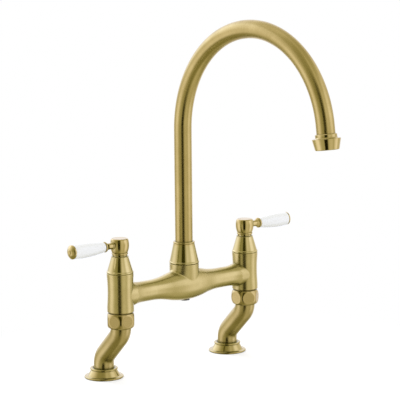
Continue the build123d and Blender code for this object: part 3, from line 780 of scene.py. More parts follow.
def boss_foot(angle):
    """The rolling blend between the boss and the belly at one angle round the boss."""
    arc_r = belly_arc_r()
    depth = arc_r - belly_r
    out = boss_r + boss_blend
    x, y = out * math.cos(angle), out * math.sin(angle)
    from_axis = math.sqrt((arc_r + boss_blend) ** 2 - x**2) - depth
    centre = Vector((x, y, math.sqrt(from_axis**2 - y**2)))
    lean = (from_axis + depth) / (arc_r + boss_blend)
    outward = Vector((x / (arc_r + boss_blend), lean * y / from_axis, lean * centre.z / from_axis))
    inward = Vector((math.cos(angle), math.sin(angle), 0))
    return centre, outward, inward


def bridge_columns(cells, steps):
    """Rows of points round the boss, from the patch's rim over the boss and down its bore."""
    top_rim = rim_walk(patch_half_l, patch_half_turn, cells)
    low_rim = rim_walk(patch_half_l, math.pi - patch_half_turn, cells)
    hole_turn = top_hole_spot(math.pi / 2)[1]  # how far round the belly the boss's blend reaches
    angles = [math.atan2(turn / hole_turn, x / boss_r) for x, turn in top_rim]
    shares = [step / steps for step in range(steps + 1)]
    rows = [patch_row(top_rim, angles, share, top_hole_spot, 0) for share in shares]
    rows += [blend_row(angles, share) for share in shares[1:-1]]
    rows += [ring_row(angles, *ring) for ring in boss_rings(bridge_top - bridge_z)]
    rows += [patch_row(low_rim, angles, 1 - share, low_hole_spot, math.pi) for share in shares]
    return rows


def top_hole_spot(angle):
    """Where the boss's blend meets the belly, as (x, turn)."""
    centre, outward, inward = boss_foot(angle)
    foot = centre - boss_blend * outward
    return foot.x, math.atan2(foot.y, foot.z)


def low_hole_spot(angle):
    """Rim of the screw's recess under the belly, as (x, turn from straight down)."""
    rim = screw_recess_r + 0.3
    x, y = rim * math.cos(angle), rim * math.sin(angle)
    return x, math.asin(y / arm_radius(x))


def patch_row(rim, angles, share, hole_spot, start_turn):
    """A row between a patch's rim and its hole."""
    row = []
    for (x, turn), angle in zip(rim, angles):
        hole_x, hole_turn = hole_spot(angle)
        here_x = x + (hole_x - x) * share
        here = turn + (hole_turn - turn) * share
        if start_turn:
            here = start_turn - here
        row.append(arm_spot(here_x, here))
    return row


def blend_row(angles, share):
    """A row round the hollow blend between the belly and the boss."""
    row = []
    for angle in angles:
        centre, outward, inward = boss_foot(angle)
        span = outward.angle(inward)
        turn = span * share
        facing = (math.sin(span - turn) * outward + math.sin(turn) * inward) / math.sin(span)
        row.append((tuple(centre - boss_blend * facing), tuple(facing)))
    return row


def boss_rings(top):
    """The boss above its blend, its bore and the recess under the belly, as (r, z, normals)."""
    flat_r, edge_low = boss_r - boss_edge, top - boss_edge
    rings = [(boss_r, edge_low, 1, 0)]
    for turn in (math.radians(degrees) for degrees in (22.5, 45, 67.5, 90)):
        across, up = math.cos(turn), math.sin(turn)
        rings.append((flat_r + boss_edge * across, edge_low + boss_edge * up, across, up))
    bore = bush_r + fit_gap
    rings += [(bore + 0.3, top, 0, 1), (bore, top - 0.3, -1, 0), (bore, 0, -1, 0)]
    floor = screw_recess_h - belly_r
    rings += [(screw_bore_r, 0, -1, 0), (screw_bore_r, floor, -1, 0)]
    foot = screw_recess_low - belly_r
    return rings + [(screw_recess_r, floor, 0, -1), (screw_recess_r, foot, -1, 0)]


def ring_row(angles, radius, height, across, up):
    """A round row about the boss's axis."""
    ways = [(math.cos(angle), math.sin(angle)) for angle in angles]
    return [((radius * x, radius * y, height), (across * x, across * y, up)) for x, y in ways]


def arm_rows(side, turns, steps):
    """Rows of one arm, from the middle patch out to its saddle on the pillar, and across its end."""
    end_r = arm_radius(half_pitch - pillar_r)
    ends = [saddle_x(end_r, turn) for turn in turns]
    rows = []
    for step in range(steps + 1):
        xs = [patch_half_l + (end - patch_half_l) * step / steps for end in ends]
        rows.append([arm_spot(side * x, turn) for x, turn in zip(xs, turns)])
    for radius in (0.75 * end_r, 0.5 * end_r, 0.25 * end_r):
        row = []
        for turn in turns:
            spot = (side * saddle_x(radius, turn), radius * math.sin(turn), radius * math.cos(turn))
            row.append((spot, (side, 0, 0)))
        rows.append(row)
    return rows


def saddle_x(radius, turn):
    """How far out the arm's end meets its pillar; it bites a little into the pillar's side."""
    y, z = radius * math.sin(turn), radius * math.cos(turn)
    wall = waist_radius(bridge_z + z) - arm_bite
    return half_pitch - math.sqrt(wall**2 - y**2)


def bridge(name, place, cells=26, steps=9):
    """Bellied bridge with the spout's boss, as one closed mesh of neat rows."""
    rows = bridge_columns(cells, steps)
    spots = [spot for row in rows for spot in row]
    width = len(rows[0])
    faces = grid_faces(0, len(rows), width)
    turns = list(np.linspace(-patch_half_turn, patch_half_turn, cells + 1))
    turns += list(np.linspace(patch_half_turn, math.tau - patch_half_turn, cells + 1))[1:-1]
    for side in SIDES.values():
        arm = arm_rows(side, turns, 28)
        start = len(spots)
        spots += [spot for row in arm for spot in row]
        faces += grid_faces(start, len(arm), len(turns))
        spots.append(((side * (half_pitch - waist_radius(bridge_z) + arm_bite), 0, 0), (side, 0, 0)))
        last = start + (len(arm) - 1) * len(turns)
        for column in range(len(turns)):
            faces.append((last + column, last + (column + 1) % len(turns), len(spots) - 1))
    points, normals = (np.array(column, float) for column in zip(*spots))
    points, normals, faces = welded(points, normals, faces)
    brush = np.cross(np.array((1.0, 0, 0)), normals)
    brush /= np.maximum(np.linalg.norm(brush, axis=1), 1e-6)[:, None]
    along = points[:, 0].copy()
    points = place_all(place, points)[0]
    return make_piece(name, points, faces, normals, along, brush)


def grid_faces(start, rows, width):
    """Quads of a grid that closes on itself sideways."""
    faces = []
    for row in range(rows - 1):
        for column in range(width):
            a = start + row * width + column
            b = start + row * width + (column + 1) % width
            faces.append((a, b, b + width, a + width))
    return faces


def welded(points, normals, faces):
    """Joins points that lie on each other and turns every face outwards, as its normals say."""
    keys = np.round(points, 4) + 0.0
    unique, first, inverse = np.unique(keys, axis=0, return_index=True, return_inverse=True)
    inverse = inverse.ravel()
    points, normals = points[first], normals[first]
    kept = []
    for face in faces:
        corners = []
        for corner in (int(inverse[index]) for index in face):
            if corner not in corners:
                corners.append(corner)
        if len(corners) < 3:
            continue
        a, b, c = (points[corner] for corner in corners[:3])
        facing = np.cross(b - a, points[corners[-1]] - a)
        outward = sum(normals[corner] for corner in corners)
        kept.append(tuple(corners if facing @ outward > 0 else corners[::-1]))
    return points, normals, kept


# ---------------------------------------------------------------- spout collar
def spout_collar(name, place):
    """Conical collar with a bead at its foot and another at its top."""
    bead_r = boss_r + 0.5
    bead_top = collar_low + collar_bead_h
    foot = boss_r - 0.3
    ring_low = collar_top - collar_ring_h
    ring_mid = collar_top - collar_ring_h / 2
    top = collar_top_r
    bore = spout_r + fit_gap
    grip_low = collar_top - collar_grip
    corners = (
        (foot - collar_wall, collar_low),
        *bead(bead_r, collar_low, bead_top, 0.8),
        (foot, bead_top + 0.4),
        (top, ring_low),
        (top - collar_groove, ring_low + 0.15),
        (top - collar_groove, ring_low + 0.35),
        (top, ring_low + 0.5),
        ((top + 0.25, ring_mid + 0.25), (top - 0.3, collar_top)),
        (bore, collar_top),
        (bore, grip_low),
        (foot - 2 * collar_wall, grip_low),
        (foot - collar_wall, bead_top),
    )
    return turned(name, corners, place, soften=0.25)


# ------------------------------------------------------------- node-made pieces
class Nodes:
    """Short ways to add nodes to a tree and to link them."""

    def __init__(self, tree):
        self.tree = tree
        tree.nodes.clear()

    def feed(self, socket, value):
        """Links an output to a socket, or sets a plain value on it."""
        if isinstance(value, bpy.types.NodeSocket):
            self.tree.links.new(value, socket)
        else:
            socket.default_value = value

    def node(self, kind, settings=(), **links):
        """Adds a node; links name its inputs, with spaces written as underscores."""
        node = self.tree.nodes.new(kind)
        for key, value in dict(settings).items():
            setattr(node, key, value)
        for key, value in links.items():
            label = key.replace("_", " ")
            self.feed(next(s for s in node.inputs if s.name == label and s.enabled), value)
        return node

    def result(self, kind, *values, **settings):
        """Adds a node, feeds its inputs in their order and gives its output."""
        node = self.node(kind, settings)
        for socket, value in zip([s for s in node.inputs if s.enabled], values):
            self.feed(socket, value)
        return next(s for s in node.outputs if s.enabled)

    def math(self, operation, *values):
        """A Math node's result."""
        return self.result("ShaderNodeMath", *values, operation=operation)

    def mix(self, share, first, second, blend="MIX"):
        """Two colours mixed, or blended in another way."""
        colours = {"data_type": "RGBA", "blend_type": blend}
        return self.result("ShaderNodeMix", share, first, second, **colours)

    def ramp(self, share, stops, between="LINEAR"):
        """A colour ramp's result, from its (place, colour) stops."""
        node = self.node("ShaderNodeValToRGB", Fac=share)
        node.color_ramp.interpolation = between
        elements = node.color_ramp.elements
        while len(elements) > 1:
            elements.remove(elements[0])
        for count, (place, colour) in enumerate(stops):
            element = elements.new(place) if count else elements[0]
            element.position = place
            element.color = colour
        return node.outputs["Color"]


class Tree(Nodes):
    """A Geometry Nodes tree with named inputs."""

    def __init__(self, name, inputs):
        super().__init__(bpy.data.node_groups.new(name, "GeometryNodeTree"))
        face = self.tree.interface
        self.identifiers = {}
        for label, kind, value in inputs:
            socket = face.new_socket(label, in_out="INPUT", socket_type=kind)
            socket.default_value = value
            self.identifiers[label] = socket.identifier
        face.new_socket("Geometry", in_out="OUTPUT", socket_type="NodeSocketGeometry")
        self.given = self.tree.nodes.new("NodeGroupInput")

    def feed(self, socket, value):
        """As for any tree; a text that names one of the tree's inputs links that input."""
        named = isinstance(value, str) and value in self.identifiers
        super().feed(socket, self.given.outputs[value] if named else value)

    def end(self, geometry, material):
        """Realises the instances, sets the material and closes the tree."""
        real = self.result("GeometryNodeRealizeInstances", geometry)
        finished = self.node("GeometryNodeSetMaterial", Geometry=real, Material=material)
        self.feed(self.tree.nodes.new("NodeGroupOutput").inputs[0], finished.outputs[0])

    def mesh(self, name, values):
        """Runs the tree on an empty mesh with the given inputs and returns the plain mesh."""
        carrier = shown(name + "_carrier", bpy.data.meshes.new(name))
        modifier = carrier.modifiers.new("build", "NODES")
        modifier.node_group = self.tree
        for label, value in values.items():
            modifier[self.identifiers[label]] = value
        mesh = settled(carrier, modifier, name)
        bpy.data.objects.remove(carrier)
        return mesh


def settled(piece, modifier, name):
    """The plain mesh that a piece's modifier gives; the modifier is then removed."""
    bpy.context.view_layer.update()
    depsgraph = bpy.context.evaluated_depsgraph_get()
    mesh = bpy.data.meshes.new_from_object(piece.evaluated_get(depsgraph))
    piece.modifiers.remove(modifier)
    mesh.name = name
    return mesh


def gooseneck_tree(material):
    """A riser, a wide bend to the top, a tighter one down and a straight tip, swept round."""
    tree = Tree(
        "gooseneck",
        (
            ("Riser", "NodeSocketFloat", 0.16),
            ("Rising Bend", "NodeSocketFloat", 0.12),
            ("Falling Bend", "NodeSocketFloat", 0.12),
            ("Falling Angle", "NodeSocketFloat", 1.4),
            ("Tip Run", "NodeSocketFloat", 0.01),
            ("Tube Radius", "NodeSocketFloat", 0.01),
            ("Steps", "NodeSocketInt", 270),
            ("Sides", "NodeSocketInt", 72),
        ),
    )
    rise_length = tree.math("MULTIPLY", "Rising Bend", math.pi / 2)
    fall_length = tree.math("MULTIPLY", "Falling Bend", "Falling Angle")
    bends = tree.math("ADD", rise_length, fall_length)
    straight = tree.math("ADD", "Riser", "Tip Run")
    length = tree.math("ADD", straight, bends)
    line = tree.result("GeometryNodeCurvePrimitiveLine")
    resampled = tree.node("GeometryNodeResampleCurve", Curve=line, Count="Steps").outputs[0]
    share = tree.node("GeometryNodeSplineParameter").outputs["Factor"]
    distance = tree.math("MULTIPLY", share, length)
    up = tree.math("MINIMUM", distance, "Riser")
    past = tree.math("SUBTRACT", distance, "Riser")
    rise = tree.math("MAXIMUM", tree.math("DIVIDE", past, "Rising Bend"), 0.0)
    rise = tree.math("MINIMUM", rise, math.pi / 2)
    fall = tree.math("DIVIDE", tree.math("SUBTRACT", past, rise_length), "Falling Bend")
    fall = tree.math("MINIMUM", tree.math("MAXIMUM", fall, 0.0), "Falling Angle")
    tip = tree.math("MAXIMUM", tree.math("SUBTRACT", past, bends), 0.0)
    sine = tree.math("SINE", fall)
    cosine = tree.math("COSINE", fall)
    forward = tree.math("SUBTRACT", 1.0, tree.math("COSINE", rise))
    forward = tree.math("MULTIPLY", "Rising Bend", forward)
    forward = tree.math("ADD", forward, tree.math("MULTIPLY", "Falling Bend", sine))
    forward = tree.math("ADD", forward, tree.math("MULTIPLY", tip, cosine))
    height = tree.math("ADD", up, tree.math("MULTIPLY", "Rising Bend", tree.math("SINE", rise)))
    drop = tree.math("MULTIPLY", "Falling Bend", tree.math("SUBTRACT", 1.0, cosine))
    drop = tree.math("ADD", drop, tree.math("MULTIPLY", tip, sine))
    height = tree.math("SUBTRACT", height, drop)
    back = tree.math("MULTIPLY", forward, -1.0)
    spot = tree.node("ShaderNodeCombineXYZ", Y=back, Z=height).outputs[0]
    path = tree.node("GeometryNodeSetPosition", Geometry=resampled, Position=spot).outputs[0]
    label = {"Geometry": path, "Name": "along", "Value": distance}
    kinds = {"data_type": "FLOAT", "domain": "POINT"}
    noted = tree.node("GeometryNodeStoreNamedAttribute", kinds, **label).outputs[0]
    section = tree.node("GeometryNodeCurvePrimitiveCircle", Resolution="Sides", Radius="Tube Radius")
    sweep = {"Curve": noted, "Profile_Curve": section.outputs[0]}
    tree.end(tree.node("GeometryNodeCurveToMesh", **sweep).outputs[0], material)
    return tree


def spout_tube(name, material):
    """Gooseneck tube: the swept skin, given its wall and its brushing."""
    values = {
        "Riser": (arch_z - tube_low) * MM,
        "Rising Bend": arch_r * MM,
        "Falling Bend": arch_fall_r * MM,
        "Falling Angle": math.radians(arch_deg - 90),
        "Tip Run": tip_run * MM,
        "Tube Radius": spout_r * MM,
    }
    mesh = gooseneck_tree(material).mesh(name, values)
    mesh.transform(Matrix.Translation((0, -crank_offset * MM, tube_low * MM)))
    piece = shown(name, mesh)
    wall = piece.modifiers.new("wall", "SOLIDIFY")
    wall.thickness = spout_wall * MM
    wall.offset = -1.0
    piece.data = settled(piece, wall, name)
    outward(piece.data)
    smoothed(piece.data, 50)
    brush_tube(piece.data)
    return piece


def smoothed(mesh, degrees):
    """Smooth shading, with an edge where the surface turns more than the given angle."""
    mesh.shade_smooth()
    mesh.set_sharp_from_angle(angle=math.radians(degrees))


def outward(mesh):
    """Turns every face of a closed mesh outwards."""
    shell = bmesh.new()
    shell.from_mesh(mesh)
    bmesh.ops.recalc_face_normals(shell, faces=shell.faces)
    shell.to_mesh(mesh)
    shell.free()


def arch_spot(turn):
    """Middle of the tube where the arch has turned so far: forward and up from its start."""
    rise = np.clip(turn, 0, math.pi / 2)
    fall = np.clip(turn - math.pi / 2, 0, None)
    forward = arch_r * (1 - np.cos(rise)) + arch_fall_r * np.sin(fall)
    return forward, arch_r * np.sin(rise) - arch_fall_r * (1 - np.cos(fall))


def brush_tube(mesh):
    """Notes the direction round the tube at each point, from how far along the tube it lies."""
    points = spots_of(mesh)
    count = len(points)
    along = np.empty(count, np.float32)
    mesh.attributes["along"].data.foreach_get("value", along)
    past = along / MM - (arch_z - tube_low)
    turn = np.clip(past / arch_r, 0, math.pi / 2)
    fall = (past - arch_r * math.pi / 2) / arch_fall_r
    turn += np.clip(fall, 0, math.radians(arch_deg - 90))
    forward, rise = arch_spot(turn)
    heading = np.column_stack((np.zeros(count), -np.sin(turn), np.cos(turn)))
    centre_y = -(crank_offset + forward) * MM
    centre_z = np.where(turn > 0, (arch_z + rise) * MM, points[:, 2])
    outward_way = points - np.column_stack((np.zeros(count), centre_y, centre_z))
    around = np.cross(heading, outward_way)
    around /= np.maximum(np.linalg.norm(around, axis=1), 1e-9)[:, None]
    note(mesh, "brush", "FLOAT_VECTOR", around)


def tip_place():
    """Placing matrix of what is turned about the tube's end; +Z is the water's way."""
    arch = math.radians(arch_deg)
    forward, rise = arch_spot(arch)
    y = -crank_offset - forward - tip_run * math.sin(arch)
    z = arch_z + rise + tip_run * math.cos(arch)
    way = Vector((0, -math.sin(arch), math.cos(arch)))
    across = Vector((1, 0, 0))
    other = way.cross(across)
    turn = Matrix((across, other, way)).transposed().to_4x4()
    return Matrix.Translation((0, y, z)) @ turn


def nozzle(name, place):
    """Turned nozzle: a ring over the tube, a sharp lip and a taper down to the mouth."""
    start = -nozzle_from_tip
    end = start + nozzle_l
    socket = spout_r + fit_gap
    thread = aerator_r + fit_gap
    ledge = spout_r - spout_wall - 0.7
    lip_start = start + nozzle_ring_l
    cove_mid = (nozzle_ring_r + 0.22 * (nozzle_lip_r - nozzle_ring_r), lip_start + 0.75 * nozzle_lip_l)
    corners = (
        (socket, start),
        (nozzle_ring_r - 0.7, start),
        (nozzle_ring_r, start + 0.7),
        (nozzle_ring_r, lip_start - 0.4),
        (cove_mid, (nozzle_lip_r - 0.4, lip_start + nozzle_lip_l)),
        (nozzle_lip_r, lip_start + nozzle_lip_l + 0.4),
        (nozzle_mouth_r, end - 0.5),
        (nozzle_mouth_r - 0.5, end),
        (thread, end),
        (thread, nozzle_ledge_h),
        (ledge, nozzle_ledge_h),
        (ledge, 0),
        (socket, 0),
    )
    return turned(name, corners, place, soften=0.25)


def aerator_tree(material):
    """A round plate with a honeycomb of round holes, cut by a slanted grid of pins."""
    tree = Tree(
        "perforated_plate",
        (
            ("Plate Radius", "NodeSocketFloat", 0.01),
            ("Plate Height", "NodeSocketFloat", 0.001),
            ("Hole Radius", "NodeSocketFloat", 0.001),
            ("Pitch", "NodeSocketFloat", 0.003),
            ("Rings", "NodeSocketInt", 3),
        ),
    )
    count = tree.math("ADD", tree.math("MULTIPLY", "Rings", 2.0), 1.0)
    size = tree.math("MULTIPLY", tree.math("MULTIPLY", "Rings", 2.0), "Pitch")
    square = {"Size_X": size, "Size_Y": size, "Vertices_X": count, "Vertices_Y": count}
    grid = tree.node("GeometryNodeMeshGrid", **square).outputs["Mesh"]
    spot = tree.result("GeometryNodeInputPosition")
    column, row, level = tree.node("ShaderNodeSeparateXYZ", Vector=spot).outputs
    x = tree.math("ADD", column, tree.math("MULTIPLY", row, 0.5))
    y = tree.math("MULTIPLY", row, math.sqrt(3) / 2)
    slanted = tree.result("ShaderNodeCombineXYZ", x, y)
    moved = tree.node("GeometryNodeSetPosition", Geometry=grid, Position=slanted).outputs[0]
    reach = tree.result("ShaderNodeVectorMath", spot, operation="LENGTH")
    limit = tree.math("MULTIPLY", tree.math("ADD", "Rings", 0.05), "Pitch")
    far = tree.math("GREATER_THAN", reach, limit)
    kept = tree.node("GeometryNodeDeleteGeometry", Geometry=moved, Selection=far).outputs[0]
    depth = tree.math("MULTIPLY", "Plate Height", 3.0)
    cylinder = "GeometryNodeMeshCylinder"
    pin = tree.node(cylinder, Vertices=28, Radius="Hole Radius", Depth=depth).outputs["Mesh"]
    pins = tree.node("GeometryNodeInstanceOnPoints", Points=kept, Instance=pin).outputs[0]
    real = tree.result("GeometryNodeRealizeInstances", pins)
    plate = tree.node(cylinder, Vertices=96, Radius="Plate Radius", Depth="Plate Height")
    sides = {"Mesh_1": plate.outputs["Mesh"], "Mesh_2": real}
    cut = tree.node("GeometryNodeMeshBoolean", {"operation": "DIFFERENCE"}, **sides)
    tree.end(cut.outputs["Mesh"], material)
    return tree


def aerator(name, place, material):
    """Screwed-in aerator: a cup wall and the perforated plate that the water leaves by."""
    values = {
        "Plate Radius": (aerator_r - aerator_wall + 0.1) * MM,
        "Plate Height": aerator_face_h * MM,
        "Hole Radius": aerator_hole_r * MM,
        "Pitch": aerator_pitch * MM,
        "Rings": aerator_rings,
    }
    plate = aerator_tree(material).mesh(name, values)
    plate.transform(Matrix.Translation((0, 0, (aerator_high - aerator_face_h / 2) * MM)))
    wall = turned(
        name + "_wall",
        (
            (aerator_r - aerator_wall, aerator_low),
            (aerator_r, aerator_low),
            (aerator_r, aerator_high + 0.3),
            (aerator_r - aerator_wall, aerator_high + 0.3),
        ),
        soften=0.3,
    )
    joined = bmesh.new()
    joined.from_mesh(plate)
    joined.from_mesh(wall.data)
    bpy.data.objects.remove(wall)
    mesh = bpy.data.meshes.new(name)
    joined.to_mesh(mesh)
    joined.free()
    smoothed(mesh, 40)
    to_metres = place.copy()
    to_metres.translation = place.translation * MM
    mesh.transform(to_metres)
    return shown(name, mesh)


# -------------------------------------------------------------------- finishes
class Finish(Nodes):
    """A node-built material."""

    def __init__(self, name):
        self.material = bpy.data.materials.new(name)
        self.material.use_nodes = True
        super().__init__(self.material.node_tree)
        self.shader = self.node("ShaderNodeBsdfPrincipled")
        self.node("ShaderNodeOutputMaterial", Surface=self.shader.outputs[0])
        self.place = self.node("ShaderNodeTexCoord").outputs["Object"]

    def noise(self, vector, scale, detail=2.0, roughness=0.5):
        """A soft pattern between 0 and 1."""
        return self.result("ShaderNodeTexNoise", vector, scale, detail, roughness)

    def spread(self, value, low, high, from_low=0.3, from_high=0.7):
        """Maps a noise value to a range."""
        return self.result("ShaderNodeMapRange", value, from_low, from_high, low, high)

    def bump(self, height, distance, strength):
        """Fine relief."""
        relief = self.node("ShaderNodeBump", Height=height, Distance=distance, Strength=strength)
        self.feed(self.shader.inputs["Normal"], relief.outputs[0])

    def attribute(self, name, output):
        """What a piece's mesh notes at each point."""
        return self.node("ShaderNodeAttribute", {"attribute_name": name}).outputs[output]

    def set(self, **values):
        """Feeds the shader's own sockets."""
        for key, value in values.items():
            self.feed(self.shader.inputs[key.replace("_", " ")], value)


# Tints of the brass by height: from each height (mm) up, a tint; darker low down and on the nuts,
# lighter and cooler on the pillars.
STOREYS = (
    (0.0, (0.88, 0.87, 0.80, 1)),
    (flange_top, (0.92, 0.90, 0.90, 1)),
    (nut_low, (0.84, 0.80, 0.74, 1)),
    (pillar_low, (1.07, 1.09, 1.17, 1)),
    (pillar_top, (1.01, 1.03, 1.08, 1)),
    (min(collar_top, hub_ring_low), (0.97, 0.94, 0.90, 1)),
)


def tinted_by_storey(brass, height, colour):
    """Tints a colour by the storey it stands in."""
    stops = [(start * MM / tint_reach, tint) for start, tint in STOREYS]
    tints = brass.ramp(brass.math("DIVIDE", height, tint_reach), stops, "CONSTANT")
    return brass.mix(1.0, colour, tints, "MULTIPLY")


# Painted shade: a dark olive colour that ambient occlusion lays into corners and creases. It stands in
# for the shade where parts meet, partly in the hue of old brass.
CORNER_SHADE_COLOUR = (0.10, 0.088, 0.022, 1)
MIRRORED_BRASS = (0.40, 0.39, 0.17, 1)  # what brass shows of the brass beside it
tint_reach = 0.25  # m, the height that the tints by storey are spread over
corner_reach = 0.012  # m, how far out of a corner its painted shade comes
patina_scale = 38.0
stroke_scale = 2600.0  # across the strokes of the brush
stroke_run_scale = 45.0  # along them
flat_satin = 0.16  # how much rougher the nuts' flats are than the rest of the polished brass


def brass_finish(name, light, dark, roughness, streak, anisotropy):
    """Brushed antique brass: fine strokes round the axis, soft patina, and painted shade in the dark
    olive hue of old brass in the corners.
    """
    brass = Finish(name)
    x, y, z = brass.node("ShaderNodeSeparateXYZ", Vector=brass.place).outputs
    strokes = brass.result(
        "ShaderNodeCombineXYZ",
        brass.math("MULTIPLY", brass.math("ADD", x, y), stroke_run_scale),
        brass.math("MULTIPLY", z, stroke_run_scale),
        brass.math("MULTIPLY", brass.attribute("along", "Fac"), stroke_scale),
    )
    fine = brass.noise(strokes, 1.0, detail=3.0, roughness=0.6)
    patina = brass.noise(brass.place, patina_scale, detail=3.0)
    # Painted shade: ambient occlusion darkens the colour in corners and creases towards the dark
    # olive.
    corners = brass.node("ShaderNodeAmbientOcclusion", {"samples": 6}, Distance=corner_reach)
    corner_shade = brass.spread(corners.outputs["AO"], 0.75, 0.0, 0.3, 0.85)
    tone = brass.math("ADD", brass.spread(patina, 0.0, 0.7), brass.spread(fine, -0.15, 0.15))
    patina_and_shade = brass.mix(corner_shade, tinted_by_storey(brass, z, brass.mix(tone, light, dark)), CORNER_SHADE_COLOUR)
    mirrored = brass.node("ShaderNodeLightPath").outputs["Is Glossy Ray"]
    rough = brass.spread(patina, roughness - 0.03, roughness + 0.04)
    rough = brass.math("ADD", rough, brass.spread(fine, -0.03, 0.05))
    rough = brass.math("MULTIPLY_ADD", brass.attribute("satin", "Fac"), flat_satin, rough)
    to_world = {"vector_type": "VECTOR", "convert_from": "OBJECT", "convert_to": "WORLD"}
    brushed = brass.attribute("brush", "Vector")
    tangent = brass.result("ShaderNodeVectorTransform", brushed, **to_world)
    brass.set(Base_Color=brass.mix(mirrored, patina_and_shade, MIRRORED_BRASS), Metallic=1.0, Roughness=rough)
    brass.set(Tangent=tangent, Anisotropic=anisotropy, Anisotropic_Rotation=0.25)
    brass.bump(fine, 0.00002, streak)
    return brass.material


def glaze_finish(name):
    """White ceramic under a clear, very slightly uneven glaze."""
    glaze = Finish(name)
    body = glaze.noise(glaze.place, 60.0, detail=2.0)
    colour = glaze.mix(glaze.spread(body, 0, 1), (0.92, 0.93, 0.93, 1), (0.94, 0.945, 0.945, 1))
    rough = glaze.spread(glaze.noise(glaze.place, 140.0), 0.10, 0.16)
    glaze.set(Base_Color=colour, Roughness=rough, IOR=1.5, Coat_Weight=0.6, Coat_Roughness=0.05)
    glaze.bump(glaze.noise(glaze.place, 220.0, detail=1.0), 0.00005, 0.03)
    return glaze.material


def plain_finish(name, colour, darker, metallic, roughness, scale, height):
    """A plain inner piece: its colour and gloss vary a little over a fine grain."""
    plain = Finish(name)
    grain = plain.noise(plain.place, scale, detail=3.0)
    plain.set(
        Base_Color=plain.mix(plain.spread(grain, 0, 1), colour, darker),
        Metallic=metallic,
        Roughness=plain.spread(grain, roughness - 0.06, roughness + 0.06),
    )
    plain.bump(grain, height, 0.3)
    return plain.material


# Plain finishes: colour, darker colour, metallic, roughness, scale and height (m) of the grain.
PLAIN = {
    "machined_brass": ((0.80, 0.64, 0.33, 1), (0.68, 0.53, 0.25, 1), 1.0, 0.24, 900.0, 0.00002),
    "valve_ceramic": ((0.88, 0.86, 0.80, 1), (0.80, 0.78, 0.71, 1), 0.0, 0.3, 700.0, 0.00001),
    # Painted shade: the steel is painted near black, so that the screw under the belly reads as shaded
    # and not as bright steel.
    "stainless_steel": ((0.20, 0.20, 0.18, 1), (0.12, 0.12, 0.11, 1), 1.0, 0.3, 900.0, 0.00002),
    "seal_rubber": ((0.035, 0.035, 0.036, 1), (0.02, 0.02, 0.02, 1), 0.0, 0.7, 1500.0, 0.00003),
    "bush_plastic": ((0.84, 0.83, 0.79, 1), (0.76, 0.75, 0.70, 1), 0.0, 0.45, 900.0, 0.00001),
    "aerator_plastic": ((0.78, 0.78, 0.76, 1), (0.68, 0.68, 0.66, 1), 0.0, 0.4, 900.0, 0.00001),
}
# Brass finishes: light, dark, roughness, strength of the strokes and anisotropy.
BRASS = {
    "polished_brass": ((0.88, 0.70, 0.31, 1), (0.76, 0.595, 0.23, 1), 0.11, 0.25, 0.5),
    "brushed_brass": ((0.80, 0.63, 0.255, 1), (0.67, 0.515, 0.185, 1), 0.26, 0.45, 0.6),
}


def all_finishes():
    """Every finish, by its slot."""
    finishes = {slot: brass_finish(slot, *look) for slot, look in BRASS.items()}
    finishes.update({slot: plain_finish(slot, *look) for slot, look in PLAIN.items()})
    finishes["white_ceramic"] = glaze_finish("white_ceramic")
    return finishes


# ----------------------------------------------------------------- the dressing
def dress_side(name, side, finishes):
    """Every visible piece of one side."""
    foot = at(side * half_pitch)
    column = at(side * half_pitch, -crank_offset)
    handle = column if side > 0 else column @ Matrix.Rotation(math.pi, 4, "Z")
    lever = handle @ at(0, 0, lever_z) @ LYING
    turning = f"{name}_handle"
    pieces = (
        ("deck_flange", deck_flange, foot, "root", "polished_brass"),
        ("leg", leg, foot, "root", "brushed_brass"),
        ("pillar", pillar, column, "root", "brushed_brass"),
        ("shroud", shroud, column, "root", "polished_brass"),
        ("union_nut", union_nut, column, "root", "polished_brass"),
        ("hub_ring", hub_ring, column, turning, "polished_brass"),
        ("hub", hub, handle, turning, "polished_brass"),
        ("hub_cap", hub_cap, column, turning, "polished_brass"),
        ("lever_neck", lever_neck, lever, turning, "polished_brass"),
        ("ceramic_lever", ceramic_lever, lever, turning, "white_ceramic"),
        ("end_cap", end_cap, lever, turning, "polished_brass"),
    )
    for part, make, place, body, slot in pieces:
        node = f"{name}_{part}"
        finish(make(node + "_skin", place), body, slot, finishes[slot], node)


def dress_middle(finishes):
    """The bridge, the collar, the spout and its nozzle."""
    polished, brushed = finishes["polished_brass"], finishes["brushed_brass"]
    plastic = finishes["aerator_plastic"]
    tip = tip_place()
    beam = bridge("bridge_skin", at(0, -crank_offset, bridge_z))
    finish(beam, "root", "brushed_brass", brushed, "bridge")
    collar = spout_collar("spout_collar_skin", at(0, -crank_offset))
    finish(collar, "spout", "polished_brass", polished, "spout_collar")
    tube = spout_tube("spout_tube_skin", brushed)
    finish(tube, "spout", "brushed_brass", brushed, "spout_tube")
    finish(nozzle("nozzle_skin", tip), "spout", "polished_brass", polished, "nozzle")
    plate = aerator("aerator_skin", tip, plastic)
    finish(plate, "spout", "aerator_plastic", plastic, "aerator")


def dress_inside(finishes):
    """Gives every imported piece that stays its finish."""
    slots = {part["node"]: part["material_slot"] for part in frame["record"]["subparts"]}
    for node, piece in frame["nodes"].items():
        piece.data.materials.clear()
        piece.data.materials.append(finishes[slots[node]])


# ------------------------------------------------------------ floor and light
photo_azimuth = math.radians(-41.115)
photo_elevation = math.radians(8.949)
photo_roll = math.radians(-0.519)
photo_distance = 2295.3  # mm
photo_lens = 170.57
look_height = 208.76
look_across = 19.94


def camera_axes():
    """The photo's own right, up and backward directions."""
    sine, cosine = math.sin(photo_azimuth), math.cos(photo_azimuth)
    back = Vector(
        (
            sine * math.cos(photo_elevation),
            -cosine * math.cos(photo_elevation),
            math.sin(photo_elevation),
        )
    )
    level = Vector((cosine, sine, 0))
    up = back.cross(level)
    right = math.cos(photo_roll) * level + math.sin(photo_roll) * up
    return right, back.cross(right), back, level


